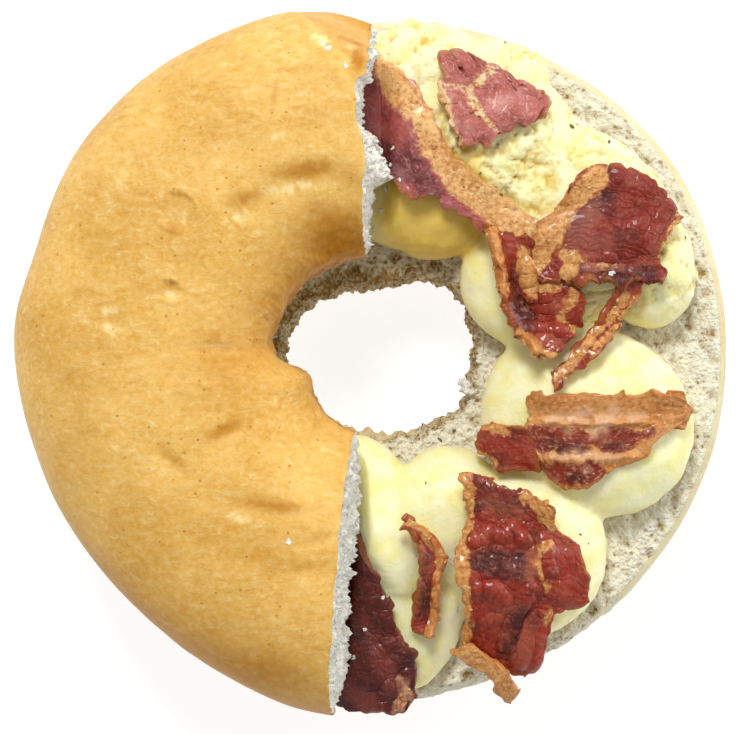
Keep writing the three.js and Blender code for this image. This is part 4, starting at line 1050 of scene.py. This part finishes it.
def lid_section(angle):
    """Place across, from -1 to 1, and height of a point round the lid's section"""
    c, s = math.cos(angle), math.sin(angle)
    reach = (abs(c) ** LID_BLUNTNESS + abs(s) ** LID_BLUNTNESS) ** (-1 / LID_BLUNTNESS)
    z = LID_WIDEST + reach * s * (LID_TOP - LID_WIDEST if s > 0 else LID_TUCK)
    if z >= LID_UNDERSIDE:
        return reach * c, z
    edge = blunt_edge((LID_WIDEST - LID_UNDERSIDE) / LID_TUCK, LID_BLUNTNESS)
    return math.copysign(min(edge, abs(c / s) * edge), c), LID_UNDERSIDE


def along_end(shreds, y):
    """Reach of the crumb and pull of the crust at a place along a torn end"""
    i = min(max(bisect.bisect([spot[0] for spot in shreds], y), 1), len(shreds) - 1)
    before, after = shreds[i - 1], shreds[i]
    part = min(max((y - before[0]) / (after[0] - before[0]), 0), 1)
    return lerp(before[1], after[1], part), lerp(before[2], after[2], part)


def marked(x, y, marks):
    """Sum of how strongly some long marks cover a place"""
    total = 0
    for cx, cy, length, width, turn, strength in marks:
        dx, dy = x - cx, y - cy
        if abs(dx) < length and abs(dy) < length:
            c, s = math.cos(math.radians(turn)), math.sin(math.radians(turn))
            along, over = (dx * c + dy * s) / length, (dy * c - dx * s) / width
            total += strength * math.exp(-4 * (along * along + over * over))
    return total


def crust_relief(x, y, z):
    """How far the crust stands above its rounded form, and how far a place lies beyond the fold"""
    place = Vector((x, y, z))
    relief = 0.5 * noise.noise(place / 15) + 0.16 * noise.noise(place / 4.2)
    relief += 0.05 * noise.noise(place / 1.2)
    relief -= marked(x, y, DENTS)
    for cx, cy, radius, depth in PITS:
        distance = math.hypot(x - cx, y - cy)
        lip = 0.2 * ramp(abs(distance - radius), 0.45, 0)
        relief += lip - depth * ramp(distance, radius, radius * 0.8)
    beyond = (x - FOLD_PLACE.x) * math.cos(FOLD_TURN) + (y - FOLD_PLACE.y) * math.sin(FOLD_TURN)
    relief -= FOLD_SLOPE * max(0, beyond) + 0.35 * ramp(beyond, -0.5, 0)
    return relief, beyond


def corner_angle(share):
    """Angle round the lid's section, with most of the corners crowded onto the side that shows"""
    return 2 * math.pi * share + CROWDING * math.cos(2 * math.pi * share)


lid = bmesh.new()
bmesh.ops.create_grid(lid, x_segments=LID_STEPS, y_segments=LID_CORNERS, size=0.5)
crumb, deep, browning_and_shade, glow = point_layers(lid, "crumb", "deep", "browning_and_shade", "glow")
for point in lid.verts:
    length = point.co.x + 0.5
    angle = corner_angle(point.co.y)
    share = min(max((length - END_SHARE) / (1 - 2 * END_SHARE), 0), 1)
    size = min(min(length, 1 - length) / END_SHARE, 1)
    inner_turn, outer_turn = (lerp(start, end, share) for start, end in zip(LID_START, LID_END))
    inner = polar(inner_turn, lid_inner(inner_turn))
    outer = polar(outer_turn, lid_outer(outer_turn))
    along = (outer - inner).normalized()
    ahead = Vector((-along.y, along.x)) * (-1 if share < 0.5 else 1)
    across, height = lid_section(angle)
    z = lerp(LID_UNDERSIDE + 0.4 * (LID_TOP - LID_UNDERSIDE), height, size)
    place = inner.lerp(outer, (across * size + 1) / 2)
    wavering = noise.fractal(Vector((*place, z)) / 3, 0.8, 2, 4) * ramp(across * size, -0.7, -0.95)
    place += along * 0.55 * wavering
    rough_place = Vector((*place, z))
    at_end = ramp(min(share, 1 - share), 0.03, 0)
    rise = (z - LID_UNDERSIDE) / (LID_TOP - LID_UNDERSIDE)
    jagged = noise.fractal(rough_place / 2.2, 1, 2, 4)
    pulled = ramp(size, 1, 0.95)
    reach, back = along_end(SHREDS_ABOVE if share < 0.5 else SHREDS_BELOW, place.y)
    low = ramp(rise, 0.95, 0.25)
    shreds = noise.fractal(rough_place / 1.1, 0.6, 2, 3) * pulled
    pocket = ramp(noise.voronoi(rough_place / 3.4)[0][0], 0.6, 0.1) * pulled * ramp(rise, 0, 0.3)
    push = reach * low - back + 0.25 * jagged + 0.5 * pulled * jagged + 0.8 * shreds - 1.2 * pocket
    place += ahead * at_end * push
    relief, beyond = crust_relief(*place, z)
    lift = relief * size * ramp(z, LID_UNDERSIDE, LID_UNDERSIDE + 9)
    up = Vector((along.x * 0.6 * across, along.y * 0.6 * across, 1)).normalized()
    point.co = Vector((*place, z)) + up * lift

    # Colour layers. Painted shading darkens the slope down to the hole, the inner wall over the hole,
    # the lower sides and the front of the lid towards -y, and it darkens the flap past the fold as well
    on_top = ramp(z, 34, 37)
    ochre_and_shade, pale, white = (on_top and on_top * marked(*place, marks) for marks in MARKS)
    broken = noise.fractal(rough_place / 1.1, 0.8, 2, 3)
    underneath = ramp(z, LID_UNDERSIDE + 0.1, LID_UNDERSIDE)
    hole_slope_shade = ramp(z, 44, 35) * ramp(across, 0, -0.5) * (0.3 + 0.5 * ramp(place.y, 0, 14))
    front_shade = ramp(z, 43, 33) * ramp(place.y, -8, -42)
    point[crumb] = max(ramp(size, 1, 0.985), underneath, ramp(white * (0.7 + 2.4 * broken), 0.3, 0.6))
    # Painted shading in the pockets and low jags of the torn ends
    point[deep] = 0.1 * ramp(jagged, 0.1, -0.5) + 0.3 * pocket
    hole_wall_shade = ramp(z, 36, 29) * ramp(across, 0, -0.5)
    painted_shade = 0.75 * hole_slope_shade + 0.8 * front_shade + 0.5 * ramp(z, 35, 27) + 0.3 * ramp(beyond, 0, 1)
    # The marks add real orange-brown streaks with painted shading, and real pale scuffs with painted
    # highlights
    point[browning_and_shade] = min(1, painted_shade + 0.7 * hole_wall_shade + 0.8 * ramp(ochre_and_shade * (1 + 0.35 * broken), 0, 1))
    point[glow] = 0.85 * ramp(pale * (1 + 1.4 * broken), 0.2, 0.8)
bmesh.ops.remove_doubles(lid, verts=lid.verts, dist=MERGE)
bmesh.ops.recalc_face_normals(lid, faces=lid.faces)

golden_bread = bread(
    "golden_egg_washed_bread", crust="#edba5c", browned="#bc7a0c", pale="#fbe4a2", crumb="#fffdf0",
    crumb_shaded="#efe4b8", roughness=0.46,
)
torn_lid = settle(lid, "torn_lid", golden_bread, "bread_crust", "bread_lid")


# Pepper and herb flecks
# Cracked pepper and dried herb in the egg. Small squashed grains that lie on the filling.
FLECKS = [
    (21, 51.2, 0.35), (37.5, 35, 0.45), (31.5, 37.5, 0.6), (17, 29.8, 0.3), (49.5, 20, 0.3),
    (23, 18.3, 0.25), (8.5, -18.7, 0.25), (32.7, -26.7, 0.3), (34, -28.2, 0.22),
    (10.9, -12.1, 0.5), (13.3, -10.6, 0.45),
]
seen_from_above = [bottom_bread, egg_filling, torn_lid, *bacon_pieces]
ready = bpy.context.evaluated_depsgraph_get()
surfaces = [BVHTree.FromObject(piece, ready) for piece in seen_from_above]


def top_height(x, y):
    """Height of whatever lies on top at a place, or None past the bread"""
    start = (Vector((x, y, SKY)) + RING_MIDDLE) * MM
    hits = [surface.ray_cast(start, DOWN)[0] for surface in surfaces]
    return max((hit.z / MM for hit in hits if hit), default=None)


pepper = bmesh.new()
for i, (x, y, size) in enumerate(FLECKS):
    ball(pepper, 2, (x, y, top_height(x, y)), 1.3 * i, (size, size * 0.5, size * 0.4))


def cracked_pepper():
    """Cracked black pepper: grey-black broken husk, dull and uneven"""
    material, tree, here = new_material("cracked_pepper")
    spots = add(tree, "TexNoise", {"Vector": here, "Scale": per_mm(0.3)})
    tone = add(tree, "Mix", {0: spots, 6: linear("#3c3a30"), 7: linear("#7c8468")}, data_type="RGBA")
    surface = add(tree, "BsdfPrincipled", {"Base Color": tone, "Roughness": 0.7})
    add(tree, "OutputMaterial", {"Surface": surface})
    return material


settle(pepper, "pepper_flecks", cracked_pepper(), "egg_filling")


# Loose crumbs
# Bits of white crumb that fell from the torn lid onto bacon and filling, and a few that still hang
# at the edge of the hole. Small balls pushed out of shape, each half sunk into what carries it.

# Each crumb: place, size, and its height where nothing lies under it
CRUMB_SPOTS = [
    (37.2, 14, 0.55, 30), (3, 31, 0.35, 28), (2.2, 27.4, 0.4, 28), (4.4, 28.6, 0.3, 29),
    (1.4, 24.2, 0.4, 27), (3.4, 33.6, 0.35, 29), (15.2, -3.6, 1.2, 16.4), (16.4, -4.6, 0.8, 16.8),
    (14.5, -2.9, 0.6, 16.2), (-2.8, -46, 0.35, 26.5), (1.8, -36.4, 0.3, 27), (-1, -41.5, 0.35, 26.5),
    (9, -40.4, 0.3, 28), (12.6, -31.2, 0.3, 28), (13.4, -38.6, 0.35, 28), (0.6, 21.3, 0.35, 26),
]
crumbs = bmesh.new()
[crumb] = point_layers(crumbs, "crumb")
for i, (x, y, size, height) in enumerate(CRUMB_SPOTS):
    spot = Vector((x, y, top_height(x, y) or height))
    for point in ball(crumbs, 3, spot, 1.9 * i, (size, size * 0.8, size * 0.6)):
        point[crumb] = 1
        point.co += (point.co - spot) * 0.9 * noise.fractal(point.co / (0.7 * size), 0.8, 2, 3)
bmesh.ops.recalc_face_normals(crumbs, faces=crumbs.faces)
settle(crumbs, "loose_crumbs", golden_bread, "bread_crust")


# Floor, light and camera
# A pale table, soft studio light from above and behind, and a camera that looks straight down.
CAMERA_HEIGHT = 520
CAMERA_PLACE = Vector((-0.32, -0.48, CAMERA_HEIGHT)) + RING_MIDDLE
FOCAL_PIXELS = 3154
PHOTO_WIDTH = 739
SENSOR_WIDTH = 36

floor = bmesh.new()
bmesh.ops.create_grid(floor, x_segments=1, y_segments=1, size=2)
table = put(floor, "table")
paint = bpy.data.materials.new("matt_white_board")
paint.use_nodes = True
for socket, value in (
    ("Base Color", linear("#9c9c9c")), ("Roughness", 0.9),
    ("Emission Color", linear("#ffffff")), ("Emission Strength", 0.82),
):
    paint.node_tree.nodes["Principled BSDF"].inputs[socket].default_value = value
table.data.materials.append(paint)


def soft_box(name, place, size, power):
    """Square area light that faces the middle of the ring"""
    light = bpy.data.lights.new(name, "AREA")
    light.shape = "SQUARE"
    light.size = size
    light.energy = power
    lamp = bpy.data.objects.new(name, light)
    bpy.context.scene.collection.objects.link(lamp)
    lamp.location = place
    lamp.rotation_euler = (-Vector(place)).to_track_quat("-Z", "Y").to_euler()


soft_box("window", place=(-0.12, 0.7, 1), size=0.34, power=10.4)
soft_box("reflector", place=(1, 0.35, 0.36), size=0.6, power=4.6)
world = bpy.data.worlds.new("room")
world.use_nodes = True
world.node_tree.nodes["Background"].inputs["Color"].default_value = linear("#ffffff")
world.node_tree.nodes["Background"].inputs["Strength"].default_value = 0.42
bpy.context.scene.world = world
bpy.context.scene.view_settings.view_transform = "Standard"

lens = bpy.data.cameras.new("straight_down")
lens.sensor_width = SENSOR_WIDTH
lens.lens = SENSOR_WIDTH * FOCAL_PIXELS / PHOTO_WIDTH
camera = bpy.data.objects.new("straight_down", lens)
bpy.context.scene.collection.objects.link(camera)
camera.location = CAMERA_PLACE * MM
bpy.context.scene.camera = camera
